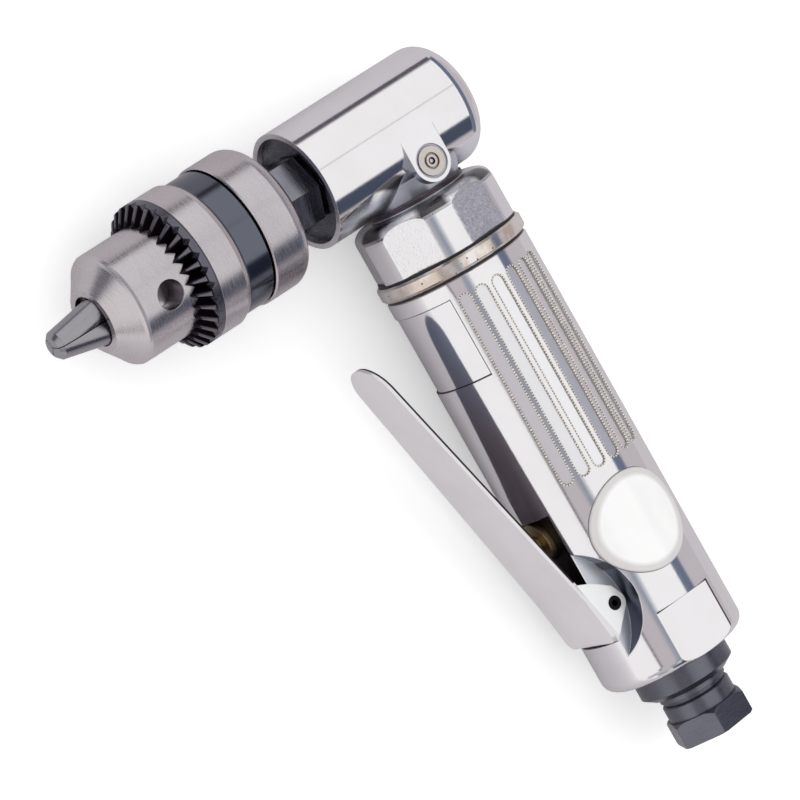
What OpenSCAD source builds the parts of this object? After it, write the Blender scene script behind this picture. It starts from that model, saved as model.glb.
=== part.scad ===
// Right-angle air drill with a keyed three-jaw chuck, lying on its side.
// Tool frame used by the modules: X points to the chuck tip, Y to the badge side, Z up the handle.
// Stations (s_...) are distances down the handle from the chuck axis, reaches (x_...) run along X.

/* [Fits] */
// Radial clearance of pressed and seated pieces
seat = 0.02; // [0.01:0.01:0.05]
// Radial clearance of running shafts
run = 0.05; // [0.02:0.01:0.09]
// Clearance between pieces that pass each other
gap = 0.3; // [0.2:0.05:0.5]

/* [Angle head] */
// Diameter of the head tube
head_d = 36; // [35.6:0.2:42]
// Distance from the handle axis to the rear of the head
head_rear = 24; // [23:0.5:30]
// Radius of the rounded rear edge
head_edge = 6; // [2:0.5:9]
// Depth of the open rim in front of the bearing cap
rim_depth = 2.3; // [1:0.1:6]
// Wall of the open rim
rim_wall = 1.6; // [1:0.1:1.9]
// Wall of the neck around the pinion bearing
neck_wall = 2.9; // [2:0.1:4]
// Step of the flange inside the coupling nut
flange_step = 1.2; // [0.8:0.1:2]
// Length of that flange
flange_len = 6; // [5:0.5:10]
// Thickness of the bearing cap
cap_len = 3.8; // [2:0.2:6]
// Width of the grease pad
pad_w = 12; // [10.5:0.5:15]
// Depth of the pad face under the crown of the head
pad_sink = 0.1; // [0.05:0.05:0.4]
// Share of the head's radius from its axis down to the grease fitting
fitting_share = 0.61; // [0.55:0.005:0.7]
// Rim of the pad around the grease fitting
fitting_rim = 1.8; // [1.2:0.1:2.4]

/* [Coupling] */
// Gap between the head tube and the coupling nut
neck_gap = 2; // [1.8:0.1:6]
// Step of the coupling nut under the handle's surface
nut_step = 0.1; // [0:0.05:0.5]
// Depth of the milled flats of the coupling nut
flat_depth = 1.2; // [0.6:0.1:1.5]
// Length of the coupling nut
nut_len = 15.8; // [13:0.2:20]
// Thickness of its top lip
nut_lip = 4; // [3:0.2:6]
// Radius of its rounded shoulder
nut_edge = 4.4; // [1:0.2:5]
// Wall of the coupling nut over the spigot thread
spigot_step = 2.8; // [2.2:0.1:4]
// Height of the lock ring over the handle
ring_step = 0.7; // [0.3:0.1:2]
// Length of the lock ring
ring_len = 4.5; // [3:0.5:8]
// Thickness of each seal ring
seal_len = 0.8; // [0.5:0.1:1.5]

/* [Handle] */
// Diameter of the handle
handle_d = 44; // [43:0.5:50]
// Length of the handle below the lock ring
handle_len = 127; // [118:1:150]
// Radius of the rounded bottom edge
handle_edge = 3.4; // [1:0.2:5]
// Depth of the label recess
recess_depth = 0.5; // [0.3:0.1:1]
// Length of the label recess
recess_len = 23.8; // [10:0.2:35]
// Half angle of the label recess
recess_half = 45.6; // [30:0.2:47]
// Width of a flute
flute_w = 3.8; // [2:0.1:4.6]
// Depth of a flute
flute_depth = 0.55; // [0.3:0.05:1]
// Angle between flutes
flute_pitch = 13.8; // [12.6:0.1:15]
// Diameter of the badge as a share of the handle's
badge_share = 0.666; // [0.5:0.002:0.68]
// Height of the badge over the handle
badge_proud = 0.6; // [0.3:0.1:0.7]
// Depth of the badge under the handle surface
badge_sunk = 1.4; // [0.8:0.1:2]
// Distance of the badge centre from the bottom end
badge_up = 42.4; // [40:0.1:46]
// Length of the wrench flats at the bottom
flats_len = 17.8; // [10:0.2:20]
// Depth of the wrench flats
flats_depth = 2.2; // [1:0.1:3]

/* [Throttle lever] */
// Distance of the pivot from the bottom end
pivot_up = 25.4; // [24:0.1:30]
// Depth of the pivot under the handle's surface
pivot_depth = 6.6; // [6:0.1:7.4]
// Distance from the pivot up to the valve
lever_arm = 23.5; // [22:0.1:28]
// Distance from the pivot up to the lever tip
lever_len = 92.6; // [70:0.2:95]
// Thickness of the lever sheet
lever_t = 1.6; // [1:0.1:2]
// Width of the lever at its tip as a share of its base
lever_taper = 0.683; // [0.5:0.01:0.9]
// Lean of the lever away from the handle
lever_lean = 13.1; // [11.5:0.1:15]
// Diameter of the pivot pin
lever_pin_d = 4; // [3:0.1:4.4]
// Width of the handle tongue between the lever ears as a share of the handle
tongue_share = 0.4886; // [0.4:0.01:0.5]
// Depth of the flat that the lever base lies over
tongue_depth = 2.8; // [2.4:0.1:3.2]
// Height of the lever's bend over that flat
bend_rise = 4.2; // [3.8:0.1:5]

/* [Throttle valve] */
// Diameter of the brass bushing
bushing_d = 12.5; // [11.5:0.1:14]
// Depth of the bushing face under the handle's surface
bushing_depth = 1; // [0.8:0.1:1.6]
// Diameter of the valve stem
stem_d = 5; // [3.6:0.1:5.4]
// Diameter of the valve chamber
chamber_d = 9.5; // [9:0.1:10.5]
// Diameter of the valve head
valve_head_d = 8; // [7.6:0.1:8.4]
// Curls of the valve spring
spring_turns = 4; // [3:1:4]
// Diameter of the spring wire
wire_d = 0.8; // [0.6:0.1:0.9]

/* [Inlet] */
// Step from the handle in to the exhaust deflector
deflector_step = 7.55; // [5:0.05:8]
// Height of the exhaust deflector
deflector_len = 8.2; // [5:0.2:12]
// Wall of the felt silencer
silencer_wall = 4.6; // [3:0.1:5]
// Step of the neck over the hexagon around the inlet shank
inlet_neck_step = 1.4; // [1:0.1:2.4]
// Length of that neck
inlet_neck_len = 6; // [3:0.1:10]
// Step of the inlet hexagon's flats outside the neck
inlet_hex_step = 0.5; // [0.2:0.1:2]
// Height of the inlet hexagon
inlet_hex_len = 7.6; // [5:0.2:12]
// Diameter of the threaded inlet as a share of the inlet shank
inlet_share = 0.64445; // [0.6:0.00005:0.68]
// Depth of the threaded inlet
inlet_depth = 14; // [10:0.5:18]

/* [Air motor] */
// Wall of the spigot around the motor bore
motor_wall = 2.2; // [1.7:0.1:2.6]
// Length of each end plate
plate_len = 8; // [7.6:0.2:10]
// Mean wall of the cylinder
cylinder_wall = 3.5; // [3.3:0.05:3.7]
// Offset of the cylinder bore
cylinder_offset = 1.5; // [1.3:0.05:1.6]
// Number of vanes
vanes = 5; // [4:1:6]
// Thickness of a vane
vane_t = 1.5; // [1:0.1:2]
// Thickness of the gasket under the motor
gasket_t = 0.5; // [0.3:0.1:1]

/* [Gears] */
// Module of the bevel pair
bevel_module = 1.5; // [1.4:0.02:1.54]
// Face width of the bevel pair
bevel_face = 5; // [3:0.2:5.4]
// Pitch diameter of the ring gear as a share of the motor bore
ring_share = 0.7765; // [0.75:0.0005:0.79]
// Face width of the planet stage
planet_face = 8; // [5:0.5:8.5]
// Length of the ring gear
ring_gear_len = 11.5; // [10.5:0.5:14]

/* [Spindle] */
// Diameter of the rear journal
journal_d = 10; // [8:0.5:11]
// Diameter of the spindle through the bevel gear
spindle_d = 12; // [11:0.5:13]
// Distance across the flats of the spindle hexagon
spindle_hex = 19; // [16:0.5:21]
// Gap between the head and the chuck
chuck_gap = 12.5; // [8:0.1:18]

/* [Chuck] */
// Diameter of the chuck body and sleeve
chuck_d = 43; // [42:0.2:46]
// Height of the sleeve's band over the chuck body
rim_step = 0.5; // [0.2:0.1:1.2]
// Step from the sleeve in to the nose
nose_step = 4.55; // [4:0.05:5]
// Wall around the jaws at the flat front of the nose
nose_wall = 1.96; // [1.4:0.02:3]
// Wall of the sleeve's waist over the open jaws
sleeve_wall = 2.2; // [1.2:0.1:3]
// Length of the smooth rear band
rear_band = 13.7; // [12.5:0.1:17]
// Gap between the rear band and the sleeve
sleeve_gap = 0.7; // [0.3:0.1:1]
// Length of the dark waist of the sleeve
waist_len = 8.7; // [5:0.1:9]
// Length of the smooth sleeve band in front of the waist
band_len = 9.7; // [9:0.1:14]
// Length of the dark rim behind the teeth
tooth_rim = 3.1; // [2:0.1:5]
// Height of the tooth cone
tooth_len = 3.7; // [3:0.1:5]
// Number of key teeth
key_teeth = 30; // [24:3:36]
// Length of the nose in front of the teeth
nose_len = 15.3; // [14:0.1:20]
// Height of the nose cone
nose_cone = 6; // [3:0.2:8]
// Diameter of a key hole
key_hole_d = 8.4; // [6:0.2:8.6]
// Diameter of a jaw
jaw_d = 8.6; // [7.4:0.1:9]
// Reach of the closed jaws in front of the nose
jaw_out = 14.4; // [12:0.2:15]
// Largest shank that the chuck takes
shank_max = 10; // [6:0.5:10]
// Turn of the chuck about its axis
chuck_turn = -11; // [-60:1:60]

/* [Hidden] */
$fn = 64;
eps = 0.01;
spindle_brg = [15, 32, 9, 2.3, 9];
pinion_teeth = 12;
gear_teeth = 18;
sun_teeth = 12;
planet_teeth = 18;
planets = 3;
ring_teeth = sun_teeth + 2 * planet_teeth;
jaws = 3;
pressure_angle = 25;
backlash = 0.12;

// Diameters that follow the handle and the bearings
nut_d = handle_d - 2 * nut_step;
nut_flats = nut_d - 2 * flat_depth;
ring_d = handle_d + 2 * ring_step;
spigot_d = handle_d - 2 * spigot_step;
flange_d = spigot_d - 2 * flange_step;
motor_d = spigot_d - 2 * motor_wall;
shaft_brg = [motor_d * 8 / 34, motor_d * 22 / 34, 7, motor_d * 1.9 / 34, 7];
neck_d = shaft_brg[1] + 2 * neck_wall;
cylinder_d = motor_d - 2 * cylinder_wall;
planet_module = motor_d * ring_share / ring_teeth;
badge_d = handle_d * badge_share;
flats_reach = handle_d / 2 - flats_depth;
pivot_reach = handle_d / 2 - pivot_depth;
tongue_half = handle_d / 2 * tongue_share;
tongue_reach = handle_d / 2 - tongue_depth;
bushing_reach = handle_d / 2 - bushing_depth;
deflector_d = handle_d - 2 * deflector_step;
silencer_d = deflector_d - 1.7;
shank_d = silencer_d - 2 * silencer_wall;
inlet_d = shank_d * inlet_share;
inlet_neck_d = shank_d + 2 * inlet_neck_step;
inlet_hex = inlet_neck_d + 2 * inlet_hex_step;
pad_reach = head_d / 2 - pad_sink;
fitting_drop = head_d / 2 * fitting_share;
fitting_d = pad_w - 2 * fitting_rim;
rim_d = chuck_d + 2 * rim_step;
nose_d = chuck_d - 2 * nose_step;

// Stations down the handle
s_pinion = bevel_module * gear_teeth / 2;
s_nut = head_d / 2 + neck_gap;
s_flange = s_nut + nut_lip;
s_stack = s_flange + flange_len;
carrier_len = 4.2;
s_carrier = s_stack - carrier_len - gap;
s_pinion_brg = s_carrier - gap - shaft_brg[2];
s_front_plate = s_stack + ring_gear_len;
s_cylinder = s_front_plate + plate_len;
s_nut_end = s_nut + nut_len;
s_ring = s_nut_end + seal_len;
s_lower_seal = s_ring + ring_len;
s_handle = s_lower_seal + seal_len;
s_end = s_handle + handle_len;
s_badge = s_end - badge_up;
s_pivot = s_end - pivot_up;
s_valve = s_pivot - lever_arm;
valve_wall = 18.8;
s_bore_end = s_valve - valve_wall;
s_rear_plate = s_bore_end - gasket_t - plate_len;
s_recess = s_handle + 4.5;
s_flutes = s_handle + 4.7;
flute_gap = 4.2;
s_flutes_end = s_badge - badge_d / 2 - flute_gap;
s_flats = s_end - flats_len;
silencer_len = 14;
s_silencer = s_end - silencer_len;
s_shank = s_silencer - 11.5;
s_washer = s_end + deflector_len;
washer_len = 1.8;
s_neck = s_washer + washer_len;
s_inlet_hex = s_neck + inlet_neck_len;
s_inlet_end = s_inlet_hex + inlet_hex_len;

// Reaches along the chuck axis
x_gear = bevel_module * pinion_teeth / 2;
gear_hub = 6;
collar_len = 2;
x_spindle_brg = x_gear + gear_hub + collar_len;
x_cap = x_spindle_brg + spindle_brg[2];
x_rim = x_cap + cap_len + rim_depth;
x_chuck = x_rim + chuck_gap;
x_sleeve = x_chuck + rear_band + sleeve_gap;
x_band = x_sleeve + waist_len;
x_tooth_rim = x_band + band_len;
x_teeth = x_tooth_rim + tooth_rim;
x_teeth_end = x_teeth + tooth_len;
x_nose_edge = x_teeth_end + nose_len;
x_nose = x_nose_edge + nose_cone;
x_jaw_tip = x_nose + jaw_out;
chuck_nut_len = 8.2;
x_chuck_nut_end = x_teeth;
x_chuck_nut = x_chuck_nut_end - chuck_nut_len;
x_bush = -head_rear + 3;
bush_len = 10;
x_cavity = x_bush + bush_len;

// Where the tool lies: on its back side, centred over the origin
lowest = max(ring_d, rim_d, handle_d) / 2;
x_low = -max(head_d, chuck_d, rim_d) / 2;
lie = [-(x_low + s_inlet_end) / 2, (x_jaw_tip - head_rear) / 2, lowest];

// Helpers

// Lays the tool frame down: handle along +X, chuck toward -Y, badge up
module lay() {
  translate(lie) rotate([90, 0, -90]) children();
}

// Round bar along the handle between two stations
module bar(s0, s1, d) {
  translate([0, 0, -s1]) cylinder(h = s1 - s0, d = d);
}

// Ring along the handle between two stations
module tube(s0, s1, d_out, d_in) {
  difference() {
    bar(s0, s1, d_out);
    bar(s0 - eps, s1 + eps, d_in);
  }
}

// Body of revolution about the handle axis, points are [radius, station]
module turn_handle(points) {
  rotate_extrude() polygon([for (p = points) [p[0], -p[1]]]);
}

// Body of revolution about the chuck axis, points are [radius, reach]
module turn_chuck(points) {
  rotate([0, 90, 0]) rotate_extrude() polygon(points);
}

// Round bar along the chuck axis between two reaches
module bar_x(x0, x1, d) {
  translate([x0, 0, 0]) rotate([0, 90, 0]) cylinder(h = x1 - x0, d = d);
}

// Points of a quarter round, from angle a0 to a1 about a centre
function arc(c, r, a0, a1, n = 8) =
  [for (i = [0:n]) let (a = a0 + (a1 - a0) * i / n) [c[0] + r * cos(a), c[1] + r * sin(a)]];

// Involute function in degrees
function inv(a) = tan(a) * 180 / PI - a;

// Half angle of a tooth at radius q, for pitch radius r and a count of teeth, thinned by slack
function half_tooth(q, r, teeth, slack) =
  let (rb = r * cos(pressure_angle), a = q > rb ? acos(rb / q) : 0)
  90 / teeth - slack / (2 * r) * 180 / PI + inv(pressure_angle) - inv(a);

// One flank as [radius, half angle], from root to tip
function flank(r, teeth, root, tip, slack, steps = 4) =
  [for (i = [0:steps]) let (q = root + (tip - root) * i / steps) [q, half_tooth(q, r, teeth, slack)]];

// Outline of a spur gear with a tooth centred at angle zero
function gear_points(teeth, mod, add, ded, slack) =
  let (r = teeth * mod / 2, f = flank(r, teeth, r - ded * mod, r + add * mod, slack), n = len(f))
  [for (k = [0:teeth - 1], i = [0:2 * n - 1])
    let (p = i < n ? f[i] : f[2 * n - 1 - i], side = i < n ? -1 : 1, a = k * 360 / teeth + side * p[1])
    [p[0] * cos(a), p[0] * sin(a)]];

// Straight bevel gear on +Z with its cone apex at the origin and a tooth centred on +X
module bevel(teeth, mate, bore_end) {
  r = teeth * bevel_module / 2;
  delta = atan(teeth / mate);
  cone = r / sin(delta);
  rv = cone * tan(delta);
  f = flank(rv, teeth / cos(delta), rv - 1.2 * bevel_module, rv + bevel_module, backlash);
  n = len(f);
  ring = [for (k = [0:teeth - 1], i = [0:2 * n - 1])
    let (
      p = i < n ? f[i] : f[2 * n - 1 - i],
      side = i < n ? -1 : 1,
      a = k * 360 / teeth + side * p[1] / cos(delta),
      q = p[0] * cos(delta))
    [q * cos(a), q * sin(a), cone / cos(delta) - p[0] * sin(delta)]];
  small = (cone - bevel_face) / cone;
  m = len(ring);
  points = concat(ring, ring * small, [[0, 0, bore_end]], [[0, 0, bore_end * small]]);
  sides = [for (i = [0:m - 1]) let (j = (i + 1) % m) each [[i, j, m + j], [i, m + j, m + i]]];
  large_end = [for (i = [0:m - 1]) [2 * m, (i + 1) % m, i]];
  small_end = [for (i = [0:m - 1]) [2 * m + 1, m + i, m + (i + 1) % m]];
  polyhedron(points, concat(sides, large_end, small_end), convexity = 8);
}

// Ball bearing pieces on +Z, sizes are [bore, outside, width, ball radius, balls]
function race_r(b) = (b[0] + b[1]) / 4;
race_slack = 0.06;
race_land = 0.45;

module bearing_outer(b) {
  difference() {
    cylinder(h = b[2], d = b[1]);
    translate([0, 0, -eps]) cylinder(h = b[2] + 2 * eps, r = race_r(b) + race_land * b[3]);
    translate([0, 0, b[2] / 2]) rotate_extrude() translate([race_r(b), 0]) circle(r = b[3] + race_slack);
  }
}

module bearing_inner(b) {
  difference() {
    cylinder(h = b[2], r = race_r(b) - race_land * b[3]);
    translate([0, 0, -eps]) cylinder(h = b[2] + 2 * eps, d = b[0]);
    translate([0, 0, b[2] / 2]) rotate_extrude() translate([race_r(b), 0]) circle(r = b[3] + race_slack);
  }
}

module bearing_balls(b) {
  for (k = [0:b[4] - 1])
    rotate(k * 360 / b[4]) translate([race_r(b), 0, b[2] / 2]) sphere(r = b[3]);
}

module at_spindle_bearing() {
  translate([x_spindle_brg, 0, 0]) rotate([0, 90, 0]) children();
}

module at_station(s) {
  translate([0, 0, -s]) children();
}

// Angle head

rim_in_d = head_d - 2 * rim_wall;
neck_ring = 1.4;
neck_ring_step = 0.8;
neck_flare = 5;
neck_bore_d = shaft_brg[1] - 0.8;
carrier_bore_d = flange_d - 8;

module angle_housing() {
  r = head_d / 2;
  color("#d9d9dc") lay() difference() {
    union() {
      turn_chuck(concat([[0, -head_rear]],
        arc([r - head_edge, -head_rear + head_edge], head_edge, -90, 0), [[r, x_rim], [0, x_rim]]));
      bar(0, s_flange + eps, neck_d);
      translate([0, 0, -r - 0.6])
        cylinder(h = 6, d1 = neck_d, d2 = min(neck_d + neck_flare, 2 * pad_reach - gap));
      bar(s_nut - neck_ring - gap, s_nut - gap, neck_d + 2 * neck_ring_step);
      bar(s_flange, s_stack, flange_d);
      grease_pad();
    }
    bar_x(x_cavity, x_cap + eps, spindle_brg[1] + 2 * seat);
    bar_x(x_cap, x_rim + eps, rim_in_d);
    bar_x(x_bush, x_cavity + eps, bush_d + 2 * seat);
    bar(0, s_stack + eps, neck_bore_d);
    bar(s_pinion_brg, s_stack + eps, shaft_brg[1] + 2 * seat);
    bar(s_carrier - gap, s_stack + eps, carrier_bore_d);
    translate([0, pad_reach + eps, -fitting_drop]) rotate([90, 0, 0])
      cylinder(h = fitting_len + eps, d = fitting_d + 2 * seat);
    translate([0, pad_reach + eps, -fitting_drop]) rotate([90, 0, 0])
      cylinder(h = fitting_ring, d = fitting_d + 1.4);
  }
}

fitting_len = 3;
fitting_ring = 0.5;

module grease_pad() {
  difference() {
    translate([0, pad_reach, 0]) rotate([90, 0, 0]) linear_extrude(pad_reach - 4) union() {
      translate([-pad_w / 2, -fitting_drop]) square([pad_w, fitting_drop]);
      translate([0, -fitting_drop]) circle(d = pad_w);
    }
    bar(0, s_nut + eps, neck_bore_d);
  }
}

grease_ball_d = 2;

module grease_fitting() {
  color("#c9c3ba") lay() translate([0, pad_reach, -fitting_drop]) rotate([90, 0, 0]) difference() {
    cylinder(h = fitting_len, d = fitting_d);
    translate([0, 0, -eps]) difference() {
      cylinder(h = 0.6, d = fitting_d * 0.56);
      cylinder(h = 0.6, d = fitting_d * 0.42);
    }
    translate([0, 0, -eps]) cylinder(h = fitting_len + 2 * eps, d = grease_ball_d + 2 * seat);
  }
}

module grease_ball() {
  color("#8b8f96") lay() translate([0, pad_reach - 1, -fitting_drop]) sphere(d = grease_ball_d);
}

spanner_d = 2.6;

module bearing_cap() {
  color("#3a3a3f") lay() difference() {
    bar_x(x_cap, x_cap + cap_len, rim_in_d - 2 * seat);
    bar_x(x_cap - eps, x_cap + cap_len + eps, spindle_brg[0] + 2 * gap + 1);
    for (side = [-1, 1]) translate([0, side * rim_in_d * 0.36, 0])
      bar_x(x_cap + 1, x_cap + cap_len + eps, spanner_d);
  }
}

module spindle_bearing_outer() {
  color("#a7abb2") lay() at_spindle_bearing() bearing_outer(spindle_brg);
}

module spindle_bearing_inner() {
  color("#a7abb2") lay() at_spindle_bearing() bearing_inner(spindle_brg);
}

module spindle_bearing_balls() {
  color("#d5d8dd") lay() at_spindle_bearing() bearing_balls(spindle_brg);
}

bush_d = 16;

module spindle_rear_bush() {
  color("#b08d4a") lay() difference() {
    bar_x(x_bush, x_cavity, bush_d);
    bar_x(x_bush - eps, x_cavity + eps, journal_d + 2 * run);
  }
}

module pinion_bearing_outer() {
  color("#a7abb2") lay() at_station(s_pinion_brg + shaft_brg[2]) bearing_outer(shaft_brg);
}

module pinion_bearing_inner() {
  color("#a7abb2") lay() at_station(s_pinion_brg + shaft_brg[2]) bearing_inner(shaft_brg);
}

module pinion_bearing_balls() {
  color("#d5d8dd") lay() at_station(s_pinion_brg + shaft_brg[2]) bearing_balls(shaft_brg);
}

// Coupling

nut_flat_turn = 39.5;

module coupling_nut() {
  r = nut_d / 2;
  color("#d9d9dc") lay() difference() {
    turn_handle(concat([[0, s_nut]], arc([r - nut_edge, s_nut + nut_edge], nut_edge, -90, 0),
      [[r, s_nut_end], [0, s_nut_end]]));
    bar(s_nut - eps, s_nut_end + eps, neck_d + 2 * gap);
    bar(s_flange, s_nut_end + eps, flange_d + 2 * gap);
    bar(s_stack, s_nut_end + eps, spigot_d + 2 * seat);
    for (k = [0:5]) rotate(nut_flat_turn + 60 * k)
      translate([nut_flats / 2, -nut_d / 2, -s_nut_end - eps]) cube([nut_d, nut_d, nut_len + 2 * eps]);
  }
}

seal_d = min(nut_d, handle_d) - 0.6;

module upper_seal_ring() {
  color("#151515") lay() tube(s_nut_end, s_ring, seal_d, spigot_d + 2 * seat);
}

module lower_seal_ring() {
  color("#151515") lay() tube(s_lower_seal, s_handle, seal_d, spigot_d + 2 * seat);
}

module lock_ring() {
  edge = 0.7;
  r = ring_d / 2;
  color("#d0cdca") lay() difference() {
    turn_handle([[0, s_ring], [r - edge, s_ring], [r, s_ring + edge], [r, s_lower_seal - edge],
      [r - edge, s_lower_seal], [0, s_lower_seal]]);
    bar(s_ring - eps, s_lower_seal + eps, spigot_d + 2 * seat);
  }
}

// Handle

ear_gap = 0.25;
lever_heel = 9.4;
ear_r = 3.6;
pocket_r = handle_d / 2 - 1;
pocket_in = pivot_reach - ear_r - 0.7;
relief_top = s_valve - bushing_d / 2 - 0.8;
relief_end = s_pivot + lever_heel + 2 * gap;
exhaust_d = 4.4;
exhaust_reach = motor_d / 2 - 3.2;
port_reach = motor_d / 2 - 3;
port_d = 4;
shank_bore_end = s_shank - 1;

module handle_housing() {
  r = handle_d / 2;
  color("#d9d9dc") lay() difference() {
    union() {
      turn_handle(concat([[0, s_handle], [r - 0.4, s_handle], [r, s_handle + 0.4]],
        arc([r - handle_edge, s_end - handle_edge], handle_edge, 0, 90), [[0, s_end]]));
      bar(s_stack, s_handle + eps, spigot_d);
    }
    bar(s_stack - eps, s_bore_end, motor_d);
    label_recess();
    flutes();
    badge_pocket(badge_d + 2 * seat, handle_d / 2 - badge_sunk, handle_d);
    for (side = [0, 180]) rotate(side)
      translate([-handle_d / 2, flats_reach, -s_end - eps]) cube([handle_d, handle_d, flats_len + eps]);
    lever_relief();
    translate([pivot_reach, 0, -s_pivot]) rotate([90, 0, 0])
      cylinder(h = 2 * tongue_half + 2 * eps, d = lever_pin_d + 2 * seat, center = true);
    bar_x_at(s_valve, bushing_in, handle_d, bushing_d + 2 * seat);
    bar_x_at(s_valve, chamber_end, bushing_in + eps, chamber_d);
    translate([port_reach, 0, 0]) bar(s_bore_end - eps, s_valve, port_d);
    translate([-exhaust_reach, 0, 0]) bar(s_bore_end - eps, s_silencer + eps, exhaust_d);
    bar(s_valve, s_shank + eps, 6);
    bar(shank_bore_end, s_silencer + eps, shank_d + 2 * seat);
    bar(s_silencer, s_end + eps, silencer_d + 2 * seat);
  }
}

// Bar along X at a station on the handle
module bar_x_at(s, x0, x1, d) {
  translate([0, 0, -s]) bar_x(x0, x1, d);
}

module label_recess() {
  translate([0, 0, -s_recess - recess_len]) rotate(-recess_half) rotate_extrude(angle = 2 * recess_half)
    translate([handle_d / 2 - recess_depth, 0]) square([handle_d, recess_len]);
}

// Six milled flutes on each side, with round ends
module flutes() {
  floor_r = handle_d / 2 - flute_depth;
  for (side = [0, 180], k = [-2.5:2.5]) rotate(90 + side + k * flute_pitch) {
    translate([floor_r, -flute_w / 2, -s_flutes_end + flute_w / 2])
      cube([handle_d / 2, flute_w, s_flutes_end - s_flutes - flute_w]);
    for (s = [s_flutes + flute_w / 2, s_flutes_end - flute_w / 2])
      translate([floor_r, 0, -s]) rotate([0, 90, 0]) cylinder(h = handle_d / 2, d = flute_w);
  }
}

// Round plug on the badge side between two radii about the handle axis
module badge_pocket(d, r_in, r_out) {
  intersection() {
    translate([0, 0, -s_badge]) rotate([-90, 0, 0]) cylinder(h = handle_d, d = d);
    difference() {
      bar(s_badge - badge_d, s_badge + badge_d, 2 * r_out);
      bar(s_badge - badge_d - eps, s_badge + badge_d + eps, 2 * r_in);
    }
  }
}

// Flat under the lever base and the two scallops for its ears
module lever_relief() {
  translate([tongue_reach, -handle_d / 2, -relief_end]) cube([handle_d, handle_d, relief_end - relief_top]);
  for (side = [0, 1]) mirror([0, side, 0])
    translate([pocket_in + pocket_r, handle_d / 2 + tongue_half, -s_pivot + 1.4]) rotate([90, 0, 0])
      cylinder(h = handle_d / 2, r = pocket_r);
}

module badge() {
  r_out = handle_d / 2 + badge_proud;
  color("#f2f2f0") lay() badge_pocket(badge_d, handle_d / 2 - badge_sunk + seat, r_out);
}

// Throttle lever

heel_reach = tongue_reach + bend_rise / 2;
bend_up = 4.8;
heel_r = 2.4;
ear_top = 10.4;
bend_reach = tongue_reach + bend_rise;
lever_tip_reach = bend_reach + (lever_len - bend_up) * tan(lever_lean);
ear_top_reach = bend_reach + (ear_top - bend_up) * tan(lever_lean);
ear_half = tongue_half + ear_gap;

module throttle_lever() {
  color("#b9b4b0") lay() translate([0, 0, -s_pivot]) {
    intersection() {
      rotate([90, 0, 0]) linear_extrude(handle_d, center = true) lever_profile();
      rotate([90, 0, 90]) linear_extrude(handle_d + lever_tip_reach) lever_outline();
    }
    for (side = [0, 1]) mirror([0, side, 0])
      translate([0, ear_half + lever_t, 0]) rotate([90, 0, 0]) linear_extrude(lever_t) lever_ear();
  }
}

// Side view of the bent strip, X outward and Y up from the pivot
module lever_profile() {
  inner = lever_t / cos(lever_lean);
  polygon([
    [heel_reach, -lever_heel], [bend_reach, bend_up], [lever_tip_reach, lever_len],
    [lever_tip_reach - inner, lever_len], [bend_reach - inner, bend_up],
    [heel_reach - lever_t, -lever_heel]]);
}

// Front view of the strip with its round free end
module lever_outline() {
  b = ear_half + lever_t;
  t = b * lever_taper;
  union() {
    polygon([[heel_r - b, -lever_heel], [b - heel_r, -lever_heel], [b, heel_r - lever_heel], [b, bend_up],
      [t, lever_len - t], [-t, lever_len - t], [-b, bend_up], [-b, heel_r - lever_heel]]);
    for (side = [-1, 1]) translate([side * (b - heel_r), heel_r - lever_heel]) circle(r = heel_r);
    translate([0, lever_len - t]) circle(r = t);
  }
}

// Side view of one ear with its pin hole
module lever_ear() {
  inner = lever_t * 0.75;
  difference() {
    union() {
      translate([pivot_reach, 0]) circle(r = ear_r);
      polygon([
        [heel_reach - inner, -lever_heel], [bend_reach - inner, bend_up], [ear_top_reach - inner, ear_top],
        [pivot_reach + ear_r, ear_top - 2], [pivot_reach - ear_r * 0.5, ear_r * 1.25],
        [pivot_reach - ear_r * 0.8, ear_r * 0.6],
        [pivot_reach - ear_r * 0.8, -ear_r * 0.6]]);
    }
    translate([pivot_reach, 0]) circle(d = lever_pin_d + 2 * run);
  }
}

module lever_pin() {
  half = ear_half + lever_t + 0.1;
  color("#2b2b2e") lay() translate([pivot_reach, 0, -s_pivot]) rotate([90, 0, 0]) difference() {
    cylinder(h = 2 * half, d = lever_pin_d, center = true);
    cylinder(h = 3 * half, d = lever_pin_d * 0.45, center = true);
  }
}

// Throttle valve

bushing_in = 4;
chamber_end = -9.6;
head_len = 3;
seat_washer_len = 1.2;
stem_clear = 0.25;
lever_in = bend_reach - lever_t / cos(lever_lean) + (lever_arm - bend_up) * tan(lever_lean);
stem_tip = lever_in - stem_clear - stem_d / 2 * (1 / cos(lever_lean) - 1);
x_head = bushing_in - run - seat_washer_len;
groove_w = 5;

module valve_bushing() {
  color("#b8955a") lay() difference() {
    bar_x_at(s_valve, bushing_in, bushing_reach, bushing_d);
    bar_x_at(s_valve, bushing_in - eps, bushing_reach + eps, stem_d + 2 * run);
    bar_x_at(s_valve, bushing_in - eps, port_reach + groove_w / 2, stem_d + 2.4);
    difference() {
      bar_x_at(s_valve, port_reach - groove_w / 2, port_reach + groove_w / 2, bushing_d + 1);
      bar_x_at(s_valve, port_reach - groove_w, port_reach + groove_w, bushing_d - 2.6);
    }
    bar_x_at(s_valve, seal_x, seal_x + seal_w, bushing_d + 1);
    translate([port_reach, 0, -s_valve]) cylinder(h = bushing_d + 1, d = 2.6, center = true);
  }
  color("#b8955a") lay() tube_x_at(s_valve, seal_x - eps, seal_x + seal_w + eps, bushing_d - 2, stem_d + 2 * run);
}

// Ring along X at a station on the handle
module tube_x_at(s, x0, x1, d_out, d_in) {
  difference() {
    bar_x_at(s, x0, x1, d_out);
    bar_x_at(s, x0 - eps, x1 + eps, d_in);
  }
}

seal_x = bushing_reach - 3.8;
seal_w = 1.4;

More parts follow.
